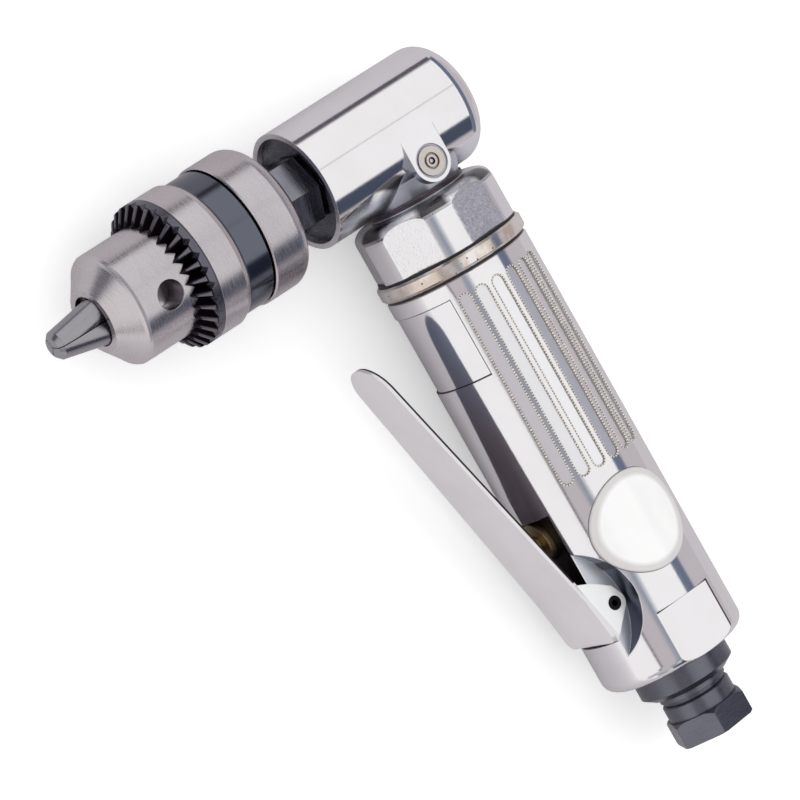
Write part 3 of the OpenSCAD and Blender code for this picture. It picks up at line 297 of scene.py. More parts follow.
class Measure(Enum):
    """What is measured of a point on the tool, from where the two axes cross."""

    REACH = "along the chuck axis, in mm"
    STATION = "down the handle axis, in mm"
    SIDE = "towards the badge, in mm"
    CHUCK_RADIUS = "away from the chuck axis, in mm"
    HANDLE_RADIUS = "away from the handle axis, in mm"
    HANDLE_ANGLE = "round the handle from the chuck towards the badge, in degrees"
    NUT_GAP = "from -1 in the middle of a nut flat to 1 between two flats"
    BADGE_RADIUS = "away from the badge's middle, in mm"
    TOOTH_DEPTH = "below the cone of the key teeth, in mm"
    LEVER_DEPTH = "below the outer face of the lever, in mm"
    FACES_HANDLE = "how far the surface turns to the handle, up to 1"
    FACES_HEAD = "how far the surface turns up the handle, up to 1"

    def socket(self, tree: Tree, coord: Socket) -> Socket:
        """Adds the nodes that take the measure.

        Args:
            tree: Material's node tree.
            coord: Object coordinates.

        Returns:
            The measure.
        """
        if self in (Measure.FACES_HANDLE, Measure.FACES_HEAD):
            facing = put(tree, "ShaderNodeTexCoord").outputs["Normal"]
            turned = put(tree, "ShaderNodeSeparateXYZ", {"Vector": facing})
            if self is Measure.FACES_HANDLE:
                return turned.outputs["Y"]
            return calc(tree, "MULTIPLY", turned.outputs["X"], -1.0)
        moved = calc_vector(tree, "SUBTRACT", coord, tuple(CROSSING))
        place = calc_vector(tree, "MULTIPLY", moved, (1 / MM, -1 / MM, 1 / MM))
        split = put(tree, "ShaderNodeSeparateXYZ", {"Vector": place})
        station, reach, side = (split.outputs[axis] for axis in "XYZ")
        straight = {Measure.STATION: station, Measure.REACH: reach, Measure.SIDE: side}
        if self in straight:
            return straight[self]
        if self in (Measure.HANDLE_ANGLE, Measure.NUT_GAP):
            turn = calc(tree, "ARCTAN2", side, reach)
            if self is Measure.HANDLE_ANGLE:
                return calc(tree, "DEGREES", turn)
            shift = math.radians(-NUT_FLATS * NUT_GAP_TURN)
            return calc(tree, "COSINE", calc(tree, "MULTIPLY_ADD", turn, NUT_FLATS, shift))
        if self is Measure.LEVER_DEPTH:
            foot = LEVER_BEND[1] + LEVER_RISE * LEVER_BEND[0]
            face = calc(tree, "MULTIPLY_ADD", station, -LEVER_RISE, foot)
            return calc(tree, "SUBTRACT", face, reach)
        if self is Measure.BADGE_RADIUS:
            place = calc_vector(tree, "SUBTRACT", place, (BADGE_STATION, 0.0, 0.0))
        across_chuck = (1.0, 0.0, 1.0)
        across = {Measure.HANDLE_RADIUS: (0.0, 1.0, 1.0), Measure.BADGE_RADIUS: (1.0, 1.0, 0.0)}
        flat = calc_vector(tree, "MULTIPLY", place, across.get(self, across_chuck))
        away = put(tree, "ShaderNodeVectorMath", {0: flat}, operation="LENGTH").outputs["Value"]
        if self is not Measure.TOOTH_DEPTH:
            return away
        foot = TOOTH_TOP[1] + TOOTH_FALL * TOOTH_TOP[0]
        cone = calc(tree, "MULTIPLY_ADD", reach, -TOOTH_FALL, foot)
        return calc(tree, "SUBTRACT", cone, away)


class Limit(NamedTuple):
    """Range of a measure, with the width over which it fades outside."""

    measure: Measure
    low: float
    high: float
    soft: float


@dataclass(frozen=True)
class Patch:
    """A place of a metal surface with another finish, held between limits; also used for painted
    shade and painted highlights.
    """

    colour: str
    roughness: float
    limits: tuple[Limit, ...]
    strength: float = 1.0
    broken_mm: float = 0.0

    def mask(self, tree: Tree, coord: Socket) -> Socket:
        """Mask of the place.

        Args:
            tree: Material's node tree.
            coord: Object coordinates.

        Returns:
            A factor that reaches the patch's strength on the place.
        """
        factors: list[Socket] = []
        for limit in self.limits:
            value = limit.measure.socket(tree, coord)
            factors.append(step(tree, value, limit.low - limit.soft, limit.low))
            factors.append(step(tree, value, limit.high + limit.soft, limit.high))
        if self.broken_mm > 0:
            factors.append(step(tree, noise(tree, coord, self.broken_mm), *CLOUD_RANGE))
        product = factors[0]
        for factor in factors[1:]:
            product = calc(tree, "MULTIPLY", product, factor)
        return calc(tree, "MULTIPLY", product, self.strength)


@dataclass(frozen=True)
class MetalFinish:
    """A bare, plated or blackened metal surface.

    The colour drifts between two tones, fine tool marks vary the roughness and the
    normal, small pits and painted shade in the corners break up the plain areas.
    """

    name: str
    colour: str
    tint: str
    roughness: float
    rough_spread: float = 0.05
    metallic: float = 1.0
    grain: Grain = Grain.EVEN
    mark_mm: float = 0.5
    mark_depth: float = 0.02
    drift_mm: float = 14.0
    pit_mm: float = 0.0
    pit_size: float = 0.06
    pit_share: float = 0.3
    pit_colour: str = "#4A4036"
    # Painted shade in inner corners: how far it looks, its tone and its strength
    corner_mm: float = 1.2
    corner_shade_colour: str = "#3A3638"
    corner_shade_strength: float = 0.8
    round_mm: float = 0.25
    flat_radius: float = 0.0
    flat_edge: float = 0.1
    mill_mm: float = 0.4
    mill_depth: float = 0.5
    mill_roughness: float = 0.18
    patches: tuple[Patch, ...] = ()

    def build(self) -> bpy.types.Material:
        """Makes the node material.

        Returns:
            The material.
        """
        mat = bare_material(self.name)
        tree = mat.node_tree
        coord = put(tree, "ShaderNodeTexCoord").outputs["Object"]
        stretch = put(tree, "ShaderNodeMapping", {"Vector": coord}, {"Scale": self.grain.value})
        height = noise(tree, stretch.outputs["Vector"], self.mark_mm, detail=3.0, roughness=0.6)
        depth = self.mark_depth
        drift = noise(tree, coord, self.drift_mm, detail=4.0, roughness=0.55)
        colour = mix(tree, drift, self.colour, self.tint)
        smooth = max(METAL_MIN_ROUGH, self.roughness - self.rough_spread)
        rough = remap(tree, height, MARK_RANGE, (smooth, self.roughness + self.rough_spread))
        for patch in self.patches:
            mask = patch.mask(tree, coord)
            colour = mix(tree, mask, colour, patch.colour)
            rough = self.blend(tree, mask, rough, patch.roughness)
        if self.flat_radius > 0:
            away = Measure.HANDLE_RADIUS.socket(tree, coord)
            flat = step(tree, away, self.flat_radius, self.flat_radius - self.flat_edge)
            height = calc(tree, "MULTIPLY", noise(tree, coord, self.mill_mm, detail=1.0), flat)
            depth = self.mill_depth
            rough = self.blend(tree, flat, rough, self.mill_roughness)
        # Painted shade darkens the colour in inner corners
        if self.corner_mm > 0:
            colour = mix(tree, self.corner_shade(tree), colour, self.corner_shade_colour)
        if self.pit_mm > 0:
            colour = mix(tree, self.pits(tree, coord), colour, self.pit_colour)
        soft = put(tree, "ShaderNodeBevel", None, {"Radius": self.round_mm * MM},
                   samples=ROUND_SAMPLES)
        bump = put(tree, "ShaderNodeBump", {"Height": height, "Normal": soft.outputs["Normal"]},
                   {"Strength": depth, "Distance": METAL_BUMP})
        shader = put(tree, "ShaderNodeBsdfPrincipled",
                     {"Base Color": colour, "Roughness": rough, "Normal": bump.outputs["Normal"]},
                     {"Metallic": self.metallic})
        put(tree, "ShaderNodeOutputMaterial", {"Surface": shader.outputs["BSDF"]})
        return mat

    @staticmethod
    def blend(tree: Tree, factor: Socket, value: Socket, other: float) -> Socket:
        """Blends a value with a number.

        Args:
            tree: Node tree.
            factor: Share of the number.
            value: Socket of the value.
            other: The number.

        Returns:
            The blended value.
        """
        node = put(tree, "ShaderNodeMix", {"Factor": factor, "A": value}, {"B": other})
        return node.outputs["Result"]

    def corner_shade(self, tree: Tree) -> Socket:
        """Mask of the painted shade in inner corners, darker where less open sky is seen.

        Args:
            tree: Material's node tree.

        Returns:
            The factor of the painted shade.
        """
        shade = put(tree, "ShaderNodeAmbientOcclusion", None, {"Distance": self.corner_mm * MM},
                    samples=CORNER_SAMPLES)
        return remap(tree, shade.outputs["AO"], CORNER_RANGE, (self.corner_shade_strength, 0.0))

    def pits(self, tree: Tree, coord: Socket) -> Socket:
        """Mask of the scattered pits.

        Args:
            tree: Material's node tree.
            coord: Object coordinates.

        Returns:
            A factor that is 1 in a pit.
        """
        cells = put(tree, "ShaderNodeTexVoronoi", {"Vector": coord},
                    {"Scale": 1 / (self.pit_mm * MM)})
        chosen = calc(tree, "LESS_THAN", cells.outputs["Color"], self.pit_share)
        near = remap(tree, cells.outputs["Distance"], (self.pit_size * PIT_CORE, self.pit_size),
                     (1.0, 0.0))
        return calc(tree, "MULTIPLY", near, chosen)


@dataclass(frozen=True)
class SoftFinish:
    """A rubber, resin, paper, felt or enamel surface with mottled tone and fine grain."""

    name: str
    colour: str
    tint: str
    roughness: float
    rough_spread: float = 0.08
    grain_mm: float = 0.4
    grain_depth: float = 0.1
    drift_mm: float = 6.0
    coat: float = 0.0
    round_mm: float = 0.3
    rim: Optional[tuple[float, float, str]] = None

    def build(self) -> bpy.types.Material:
        """Makes the node material.

        Returns:
            The material.
        """
        mat = bare_material(self.name)
        tree = mat.node_tree
        coord = put(tree, "ShaderNodeTexCoord").outputs["Object"]
        grain = noise(tree, coord, self.grain_mm, detail=3.0)
        drift = noise(tree, coord, self.drift_mm, detail=4.0)
        colour = mix(tree, drift, self.colour, self.tint)
        if self.rim:
            low, high, code = self.rim
            edge = step(tree, Measure.BADGE_RADIUS.socket(tree, coord), low, high)
            colour = mix(tree, edge, colour, code)
        smooth = max(SOFT_MIN_ROUGH, self.roughness - self.rough_spread)
        rough = remap(tree, grain, (0.0, 1.0), (smooth, self.roughness + self.rough_spread))
        soft = put(tree, "ShaderNodeBevel", None, {"Radius": self.round_mm * MM},
                   samples=ROUND_SAMPLES)
        bump = put(tree, "ShaderNodeBump", {"Height": grain, "Normal": soft.outputs["Normal"]},
                   {"Strength": self.grain_depth, "Distance": SOFT_BUMP})
        shader = put(tree, "ShaderNodeBsdfPrincipled",
                     {"Base Color": colour, "Roughness": rough, "Normal": bump.outputs["Normal"]},
                     {"Coat Weight": self.coat})
        put(tree, "ShaderNodeOutputMaterial", {"Surface": shader.outputs["BSDF"]})
        return mat


# Limits that several places of the handle share
FLUTE_SPAN = Limit(Measure.STATION, 46.8, 107.4, 0.1)
CUT_IN = Limit(Measure.HANDLE_RADIUS, 0, 21.85, 0.05)
POCKET = (Limit(Measure.STATION, 119, 160, 0.1), Limit(Measure.REACH, 2, 19, 0.1),
          Limit(Measure.HANDLE_RADIUS, 0, 21.7, 0.1))
RECESS_TURN = Limit(Measure.HANDLE_ANGLE, -46, 46, 0.3)
RECESS_STEP = Limit(Measure.HANDLE_RADIUS, 21.4, 21.95, 0.05)
# Limits that several places of the lever and of the key holes share
LEVER_INSIDE = Limit(Measure.FACES_HANDLE, 0.4, 1.1, 0.15)
KEY_HOLE = Limit(Measure.CHUCK_RADIUS, 0, 16.5, 0.2)

# Chromium plate over a polished casting: mirror bright, warm in the grey reflections
CHROME = MetalFinish(
    "chrome_plate", "#F1F0F2", "#E6E3E4", 0.1, 0.03, mark_mm=0.7, mark_depth=0.01, pit_mm=9.0,
    pit_size=0.035, pit_share=0.25, pit_colour="#5B554F")
# Dark tone of the painted shade lines along the steps of the handle
STEP_SHADE = "#2C282B"
POLISHED_CHROME = replace(
    CHROME, name="polished_chrome_plate", corner_mm=0.5, corner_shade_strength=0.4,
    patches=(
        # Floors of the flutes, left satin by the mill
        *(Patch(CHROME.colour, 0.32, (FLUTE_SPAN, Limit(Measure.HANDLE_ANGLE, low, high, 0.5),
                                      CUT_IN)) for low, high in ((47, 133), (-133, -47))),
        # Flat under the lever, painted dark as the lever's shade
        Patch("#3A3337", 0.4, (Limit(Measure.REACH, 19.1, 19.3, 0.05),
                               Limit(Measure.STATION, 100, 149, 2), CUT_IN)),
        # Cheeks of the pockets beside the lever, satin, and their curved walls, painted dark as
        # shade
        Patch("#E2E5EC", 0.38, (*POCKET, Limit(Measure.SIDE, -10.9, 10.9, 0.03))),
        *(Patch("#525866", 0.26, (*POCKET, Limit(Measure.SIDE, low, high, 0.03)))
          for low, high in ((10.9, 19.6), (-19.6, -10.9))),
        # Painted shade in the ring round the badge
        Patch("#3A3538", 0.5, (Limit(Measure.SIDE, 10, 30, 0.1),
                               Limit(Measure.BADGE_RADIUS, 0, 14.8, 0.15)), 0.7),
        # Painted shade lines along the steps of the label recess and of the wrench flat
        Patch(STEP_SHADE, 0.5, (Limit(Measure.STATION, 46.0, 70.6, 0.1),
                                Limit(Measure.HANDLE_ANGLE, 44.9, 45.8, 0.3), RECESS_STEP)),
        *(Patch(STEP_SHADE, 0.5, (Limit(Measure.STATION, low, high, 0.1), RECESS_TURN, RECESS_STEP),
                strength) for low, high, strength in ((46.3, 46.6, 0.8), (69.9, 70.3, 0.9))),
        Patch(STEP_SHADE, 0.5, (Limit(Measure.STATION, 151.0, 151.5, 0.15),
                                Limit(Measure.SIDE, 19.75, 22, 0.05),
                                Limit(Measure.HANDLE_RADIUS, 0, 21.95, 0.05)), 0.9),
        Patch(STEP_SHADE, 0.5, (Limit(Measure.STATION, 151.0, 167, 0.15),
                                Limit(Measure.SIDE, 19.75, 19.85, 0.05),
                                Limit(Measure.REACH, -9.8, -9.25, 0.15)), 0.9)))
# The same plate on the head, thin and satin over the cast neck
HEAD_CHROME = replace(
    CHROME, name="cast_head_chrome_plate", corner_shade_colour="#4A464D", corner_shade_strength=0.35,
    patches=(
        # Underside towards the nut
        Patch("#E9EBF0", 0.28, (Limit(Measure.STATION, 13, 20, 1.0),
                                Limit(Measure.CHUCK_RADIUS, 0, 18.3, 0.2),
                                Limit(Measure.REACH, -20, 31, 1.0),
                                Limit(Measure.SIDE, -30, 17, 0.5))),
        # Neck, and the brown joint at its foot
        Patch("#C3C7D1", 0.33, (Limit(Measure.CHUCK_RADIUS, 18.2, 60, 0.15),
                                Limit(Measure.SIDE, -30, 17.6, 0.1))),
        Patch("#4E4348", 0.35, (Limit(Measure.STATION, 18.25, 19.3, 0.15),
                                Limit(Measure.HANDLE_RADIUS, 14.2, 20, 0.2)))))
# The same plate on the coupling nut, over flats that were left rough by the mill
MILLED_CHROME = replace(
    CHROME, name="milled_chrome_plate", corner_shade_strength=0.5, flat_radius=21.85,
    patches=(
        # Shoulder between the flats, painted dark as a reflection where it faces up the handle
        Patch("#2A262B", 0.2, (Limit(Measure.FACES_HEAD, 0.45, 1.1, 0.3),
                               Limit(Measure.NUT_GAP, 0.5, 1.1, 0.6),
                               Limit(Measure.STATION, 19, 26, 0.5)), 0.9),))
# Plated ring with pinholes where the brown base metal shows
PITTED_CHROME = MetalFinish(
    "pitted_chrome_plate", "#F2F0EF", "#E0D6CE", 0.14, 0.05, drift_mm=6.0, pit_mm=1.9,
    pit_size=0.17, pit_share=0.5, pit_colour="#4A3B30",
    patches=(Patch("#CDB9A6", 0.25, (Limit(Measure.STATION, 30, 50, 1),), 0.6, 4.5),))
# Nickel plate on pressed steel sheet: satin, with fine rubbing marks along the lever
SATIN_NICKEL = MetalFinish(
    "satin_nickel_sheet", "#F3F1F2", "#E3DFE1", 0.3, 0.02, metallic=0.5, grain=Grain.ALONG_HANDLE,
    mark_mm=0.8, mark_depth=0.008, pit_mm=7.0, pit_size=0.04, pit_share=0.15, pit_colour="#7A7270",
    corner_shade_strength=0.5,
    patches=(
        # Inner face, painted dark as shade, bluer towards the tip
        Patch("#8A8088", 0.45, (LEVER_INSIDE,)),
        Patch("#959CB2", 0.45, (LEVER_INSIDE, Limit(Measure.STATION, 20, 62, 30))),
        # Ears, painted white as a highlight
        Patch("#FFFFFF", 0.35, (Limit(Measure.SIDE, 10.0, 14, 0.1),
                                Limit(Measure.STATION, 132, 160, 3),
                                Limit(Measure.LEVER_DEPTH, 1.4, 20, 0.3))),
        # Edge of the sheet along its inner side, painted dark as shade
        Patch("#241F22", 0.5, (Limit(Measure.LEVER_DEPTH, 1.1, 2.4, 0.1),
                               Limit(Measure.FACES_HANDLE, -0.5, 0.35, 0.1),
                               Limit(Measure.STATION, 40, 132, 0.5)))))
# Turned and ground chuck steel: fine rings around the axis
STEEL = MetalFinish(
    "turned_steel", "#D6D0D2", "#BCB6B9", 0.25, 0.06, grain=Grain.ROUND_CHUCK, mark_mm=0.22,
    mark_depth=0.08, drift_mm=20.0)
TURNED_STEEL = replace(
    STEEL, name="turned_chuck_steel", pit_mm=11.0, pit_size=0.04, corner_shade_colour="#2A2627",
    patches=(
        # Key holes, painted dark as shade towards the body and painted bright as a highlight
        # towards the tip
        Patch("#6A6468", 0.35, (Limit(Measure.REACH, 84.5, 87.0, 1.0), KEY_HOLE), 0.9),
        Patch("#F0EFF2", 0.12, (Limit(Measure.REACH, 88.4, 94.4, 0.4), KEY_HOLE))))
# The same steel with a blackened waist and a blackened toothed rim, with painted shade in and
# before the teeth
SLEEVE_STEEL = replace(
    STEEL, name="turned_sleeve_steel", corner_shade_colour="#17161A",
    patches=(
        # Waist, and the plain ring behind the teeth
        Patch("#666974", 0.14, (Limit(Measure.REACH, 58, 67.5, 0.2),)),
        Patch("#6C6B75", 0.26, (Limit(Measure.REACH, 77.3, 80.4, 0.1),)),
        # Crests of the teeth; the gaps and the front of the teeth painted near black as shade
        Patch("#726D75", 0.3, (Limit(Measure.REACH, 80.5, 90, 0.1),)),
        # Painted shade in the gaps between the teeth
        Patch("#110C11", 0.5, (Limit(Measure.REACH, 80.0, 84.6, 0.3),
                               Limit(Measure.TOOTH_DEPTH, 0.55, 9, 0.45))),
        # Painted shade over the front of the teeth
        Patch("#171217", 0.5, (Limit(Measure.REACH, 83.2, 90, 0.3),), 0.85)))
# Ground jaw steel: grey, with fine even marks
GROUND_JAW = MetalFinish("ground_jaw_steel", "#A5A3A8", "#8F8D92", 0.24, 0.05, mark_mm=0.3,
                         mark_depth=0.05, pit_mm=6.0)
# Black oxide over turned steel: dark blue grey with a dull sheen
BLACK_OXIDE = MetalFinish("black_oxide_steel", "#787983", "#5D5D65", 0.28, 0.06,
                          grain=Grain.ROUND_HANDLE, mark_mm=0.35, mark_depth=0.05,
                          corner_shade_colour="#0E0D10", round_mm=0.35)
# Oiled dark steel of the spindle
OILED_STEEL = MetalFinish("oiled_dark_steel", "#9C9CA6", "#7C7B84", 0.25, 0.08,
                          grain=Grain.ROUND_CHUCK, mark_mm=0.4, mark_depth=0.05,
                          corner_shade_colour="#151317")
# Black phosphate of small pins and screws
BLACK_PIN = MetalFinish("black_phosphate_pin", "#2A292D", "#1E1D21", 0.45, 0.08, mark_mm=0.3,
                        mark_depth=0.05, corner_shade_colour="#050505")
# Free-cutting brass, turned
TURNED_BRASS = MetalFinish("turned_brass", "#C0AC86", "#A48F68", 0.35, 0.08,
                           grain=Grain.ROUND_CHUCK, mark_mm=0.3, mark_depth=0.05,
                           corner_shade_colour="#3A2A16")
# Nickel of the flush grease fitting
FITTING_NICKEL = MetalFinish("nickel_fitting", "#E2DAD3", "#C9BFB6", 0.25, 0.06, mark_mm=0.3,
                             mark_depth=0.04, corner_mm=0.8, corner_shade_colour="#4B3F38",
                             corner_shade_strength=1.0)
# Hardened gear steel, ground
GEAR_STEEL = MetalFinish("ground_gear_steel", "#8D8D92", "#74747A", 0.33, 0.08, mark_mm=0.3,
                         mark_depth=0.05)
# Bearing steel, lapped
BEARING_STEEL = MetalFinish("lapped_bearing_steel", "#B9BBC0", "#A3A5AB", 0.18, mark_mm=0.3)
# Drawn wire
SPRING_WIRE = MetalFinish("drawn_spring_wire", "#9A9CA1", "#85878C", 0.3, 0.08, mark_mm=0.3)
# Pale rows that the mill left along the flutes, and the grime between them
FLUTE_BEADS = MetalFinish("beaded_flute_edge", "#F6F1E6", "#E2DACE", 0.3, 0.06, metallic=0.2,
                          drift_mm=0.9, mark_depth=0.0, corner_mm=0.0, round_mm=0.02)
FLUTE_GRIME = SoftFinish("grime_between_beads", "#8B8279", "#746B64", 0.6)
# Nitrile rubber, moulded
BLACK_RUBBER = SoftFinish("moulded_black_rubber", "#17161A", "#0F0E11", 0.5)
# White enamel under a clear domed coat, with a grey rim
WHITE_ENAMEL = SoftFinish("white_domed_enamel", "#FEFEFD", "#F7F7F7", 0.2, grain_mm=1.2,
                          grain_depth=0.02, coat=0.4, round_mm=0.9, rim=(11.9, 13.2, "#DAD6D6"))
# Laminated resin of the vanes
VANE_RESIN = SoftFinish("laminated_vane_resin", "#4A3522", "#36271A", 0.55)
# Pressed gasket paper
GASKET_PAPER = SoftFinish("pressed_gasket_paper", "#3B3128", "#2D251E", 0.8)
# Felt of the silencer
GREY_FELT = SoftFinish("pressed_grey_felt", "#6A6259", "#544D45", 0.95, grain_depth=0.5)

BEARINGS = ("spindle", "pinion", "rotor_front", "rotor_rear")
BEARING_PIECES = ("outer", "inner", "balls")
NODE_FINISHES: tuple[tuple[Union[MetalFinish, SoftFinish], tuple[str, ...]], ...] = (
    (POLISHED_CHROME, ("handle_housing",)),
    (HEAD_CHROME, ("angle_housing",)),
    (MILLED_CHROME, ("coupling_nut",)),
    (PITTED_CHROME, ("lock_ring",)),
    (FITTING_NICKEL, ("grease_fitting", "grease_ball")),
    (BLACK_PIN, ("lever_pin", "chuck_screw")),
    (OILED_STEEL, ("spindle",)),
    (BLACK_OXIDE, ("exhaust_deflector", "inlet_washer", "inlet_bushing", "bearing_cap")),
    (BLACK_RUBBER, ("upper_seal_ring", "lower_seal_ring", "valve_bushing_seal",
                    "valve_seat_washer")),
    (WHITE_ENAMEL, ("badge",)),
    (TURNED_BRASS, ("valve_bushing", "valve_stem", "spindle_rear_bush")),
    (SATIN_NICKEL, ("throttle_lever",)),
    (TURNED_STEEL, ("chuck_body",)),
    (SLEEVE_STEEL, ("chuck_sleeve",)),
    (GROUND_JAW, ("chuck_jaw_1", "chuck_jaw_2", "chuck_jaw_3")),
    (GEAR_STEEL, ("chuck_nut", "bevel_gear", "bevel_pinion", "gear_key", "planet_carrier",
                  "planet_pins", "planet_gear_1", "planet_gear_2", "planet_gear_3", "ring_gear",
                  "rotor", "cylinder", "cylinder_dowel", "front_end_plate", "rear_end_plate")),
    (BEARING_STEEL, tuple(f"{place}_bearing_{piece}" for place in BEARINGS
                          for piece in BEARING_PIECES)),
    (SPRING_WIRE, ("valve_spring", "inlet_screen")),
    (VANE_RESIN, ("rotor_vanes",)),
    (GASKET_PAPER, ("motor_gasket",)),
    (GREY_FELT, ("exhaust_silencer",)),
)


class Light(Enum):
    """Tones of the studio, where the polished faces mirror it."""

    BOX = "#FFFFFF"
    WALL = "#C6C0C4"
    EDGE_DARK = "#454C5E"
    EDGE_SOFT = "#9AA0AC"
    EDGE_BLUE = "#6C758B"
    EDGE_WARM = "#5A555F"
    EDGE_LINE = "#857F83"
    TABLE = "#D2CED2"
    CARD = "#6A6876"


Stops = tuple[tuple[float, Light], ...]
# Studio as the handle mirrors it, by a ray's Y
STUDIO_BY_Y: Stops = (
    (-1.0, Light.BOX), (-0.82, Light.BOX), (-0.805, Light.EDGE_LINE), (-0.783, Light.EDGE_LINE),
    (-0.768, Light.WALL), (-0.52, Light.WALL), (-0.46, Light.EDGE_SOFT), (-0.40, Light.EDGE_SOFT),
    (-0.26, Light.BOX), (0.53, Light.BOX), (0.58, Light.EDGE_BLUE), (0.745, Light.EDGE_BLUE),
    (0.79, Light.WALL), (1.0, Light.WALL))
# Studio as the head and the chuck mirror it, by a ray's turn round the chuck axis in degrees
STUDIO_BY_TURN: Stops = (
    (-120, Light.WALL), (-80, Light.WALL), (-74, Light.EDGE_DARK), (-49, Light.EDGE_DARK),
    (-45, Light.BOX), (15.5, Light.BOX), (16.5, Light.EDGE_LINE), (17.5, Light.BOX),
    (77, Light.BOX), (82, Light.EDGE_WARM), (106, Light.EDGE_WARM), (113, Light.WALL),
    (120, Light.WALL))
# Range of a ray's Y in which the head and the chuck mirror the studio
CHUCK_STRIP = (-0.3, 0.55)


@dataclass
class Studio:
    """White sweep, soft boxes with dark edges, and the camera of the photograph."""

    azimuth: float = 27.88
    elevation: float = 8.19
    roll: float = 29.58
    distance: float = 1.6
    sensor_mm: float = 36.0
    clip_end: float = 20.0
    px_per_mm: float = 3.6
    image_px: int = 800
    crossing_px: tuple[float, float] = (382.3, 136.5)
    floor_size: float = 3.0
    floor_tone: float = 0.9
    floor_glow: float = 0.35
    floor_fade: tuple[float, float] = (0.0, -0.25)
    # Edges of the grey card in X and Y: as a ray's way, and on the floor in metres
    card_way: tuple[tuple[float, float], ...] = ((-0.45, -0.58), (-0.42, -0.54))
    card_place: tuple[tuple[float, float], ...] = ((-0.155, -0.175), (-0.095, -0.115))

    def camera(self) -> bpy.types.Object:
        """Sets up the camera.

        Returns:
            The camera object.
        """
        a, e, r = (math.radians(v) for v in (self.azimuth, self.elevation, self.roll))
        turn = Matrix(((0, 0, -1), (-1, 0, 0), (0, 1, 0)))
        sin_a, cos_a, sin_e, cos_e = math.sin(a), math.cos(a), math.sin(e), math.cos(e)
        towards = turn @ Vector((cos_e * sin_a, cos_e * cos_a, sin_e))
        level = turn @ Vector((-cos_a, sin_a, 0))
        upright = turn @ Vector((-sin_a * sin_e, -cos_a * sin_e, cos_e))
        right = level * math.cos(r) - upright * math.sin(r)
        up = level * math.sin(r) + upright * math.cos(r)
        half = self.image_px / 2
        dx = (half - self.crossing_px[0]) / self.px_per_mm * MM
        dy = (half - self.crossing_px[1]) / self.px_per_mm * MM
        target = CROSSING + right * dx - up * dy
        data = bpy.data.cameras.new("camera")
        data.sensor_width = self.sensor_mm
        data.lens = self.sensor_mm * self.distance / (self.image_px / self.px_per_mm * MM)
        data.clip_end = self.clip_end
        cam = bpy.data.objects.new("camera", data)
        pose = Matrix((right, up, towards)).transposed().to_4x4()
        pose.translation = target + towards * self.distance
        cam.matrix_world = pose
        bpy.context.scene.collection.objects.link(cam)
        bpy.context.scene.camera = cam
        return cam

    def world(self) -> None:
        """Paints the studio around the tool: what its polished faces mirror."""
        world = bpy.data.worlds.new("studio")
        bpy.context.scene.world = world
        world.use_nodes = True
        tree = world.node_tree
        tree.nodes.clear()
        way = put(tree, "ShaderNodeTexCoord").outputs["Generated"]
        split = put(tree, "ShaderNodeSeparateXYZ", {"Vector": way})
        x, y, z = (split.outputs[axis] for axis in "XYZ")
        swing = calc(tree, "ARCTAN2", calc(tree, "MULTIPLY", x, -1.0), z)
        strip = calc(tree, "MULTIPLY", calc(tree, "GREATER_THAN", y, CHUCK_STRIP[0]),
                     calc(tree, "LESS_THAN", y, CHUCK_STRIP[1]))
        mirrored = mix(tree, strip, self.ramp(tree, y, STUDIO_BY_Y),
                       self.ramp(tree, calc(tree, "DEGREES", swing), STUDIO_BY_TURN))
        # Grey card above and beyond the chuck, mirrored by the cones of its nose and jaws
        card = self.corner(tree, split, self.card_way)
        carded = mix(tree, card, mirrored, Light.CARD.value)
        path = put(tree, "ShaderNodeLightPath")
        plain = mix(tree, path.outputs["Is Glossy Ray"], Light.BOX.value, carded)
        light = put(tree, "ShaderNodeBackground", {"Color": plain}, {"Strength": 1.0})
        put(tree, "ShaderNodeOutputWorld", {"Surface": light.outputs["Background"]})

    @staticmethod
    def corner(tree: Tree, split: bpy.types.Node, edges: Sequence[tuple[float, float]]) -> Socket:
        """Mask of the corner beyond two edges.

        Args:
            tree: Node tree.
            split: Node with the X and Y outputs.
            edges: Where the mask starts and is full, in X and in Y.

        Returns:
            A factor that is 1 in the corner.
        """
        beyond_x, beyond_y = (step(tree, split.outputs[axis], *edge)
                              for axis, edge in zip("XY", edges))
        return calc(tree, "MULTIPLY", beyond_x, beyond_y)

    @staticmethod
    def ramp(tree: Tree, value: Socket, stops: Stops) -> Socket:
        """Colour ramp over a range of values.

        Args:
            tree: Node tree.
            value: Socket to read.
            stops: Values with their tones, rising.

        Returns:
            The colour socket.
        """
        low, high = stops[0][0], stops[-1][0]
        node = put(tree, "ShaderNodeValToRGB", {"Fac": remap(tree, value, (low, high))})
        elements = node.color_ramp.elements
        while len(elements) > 1:
            elements.remove(elements[-1])
        for i, (at, tone) in enumerate(stops):
            place = (at - low) / (high - low)
            element = elements[0] if i == 0 else elements.new(place)
            element.position = place
            element.color = srgb(tone.value)
        return node.outputs["Color"]

    def floor(self) -> bpy.types.Object:
        """Pale floor that shows white and keeps a soft shadow.

        Returns:
            The floor object.
        """
        mesh = bpy.data.meshes.new("floor")
        size = self.floor_size
        mesh.from_pydata([(-size, -size, 0), (size, -size, 0), (size, size, 0), (-size, size, 0)],
                         [], [(0, 1, 2, 3)])
        floor = bpy.data.objects.new("floor", mesh)
        bpy.context.scene.collection.objects.link(floor)
        mat = bare_material("pale_floor")
        tree = mat.node_tree
        matt = put(tree, "ShaderNodeBsdfDiffuse", None, {"Color": (*[self.floor_tone] * 3, 1.0)})
        glow = put(tree, "ShaderNodeEmission", None,
                   {"Color": srgb(Light.BOX.value), "Strength": self.floor_glow})
        bright = put(tree, "ShaderNodeAddShader",
                     {0: matt.outputs["BSDF"], 1: glow.outputs["Emission"]})
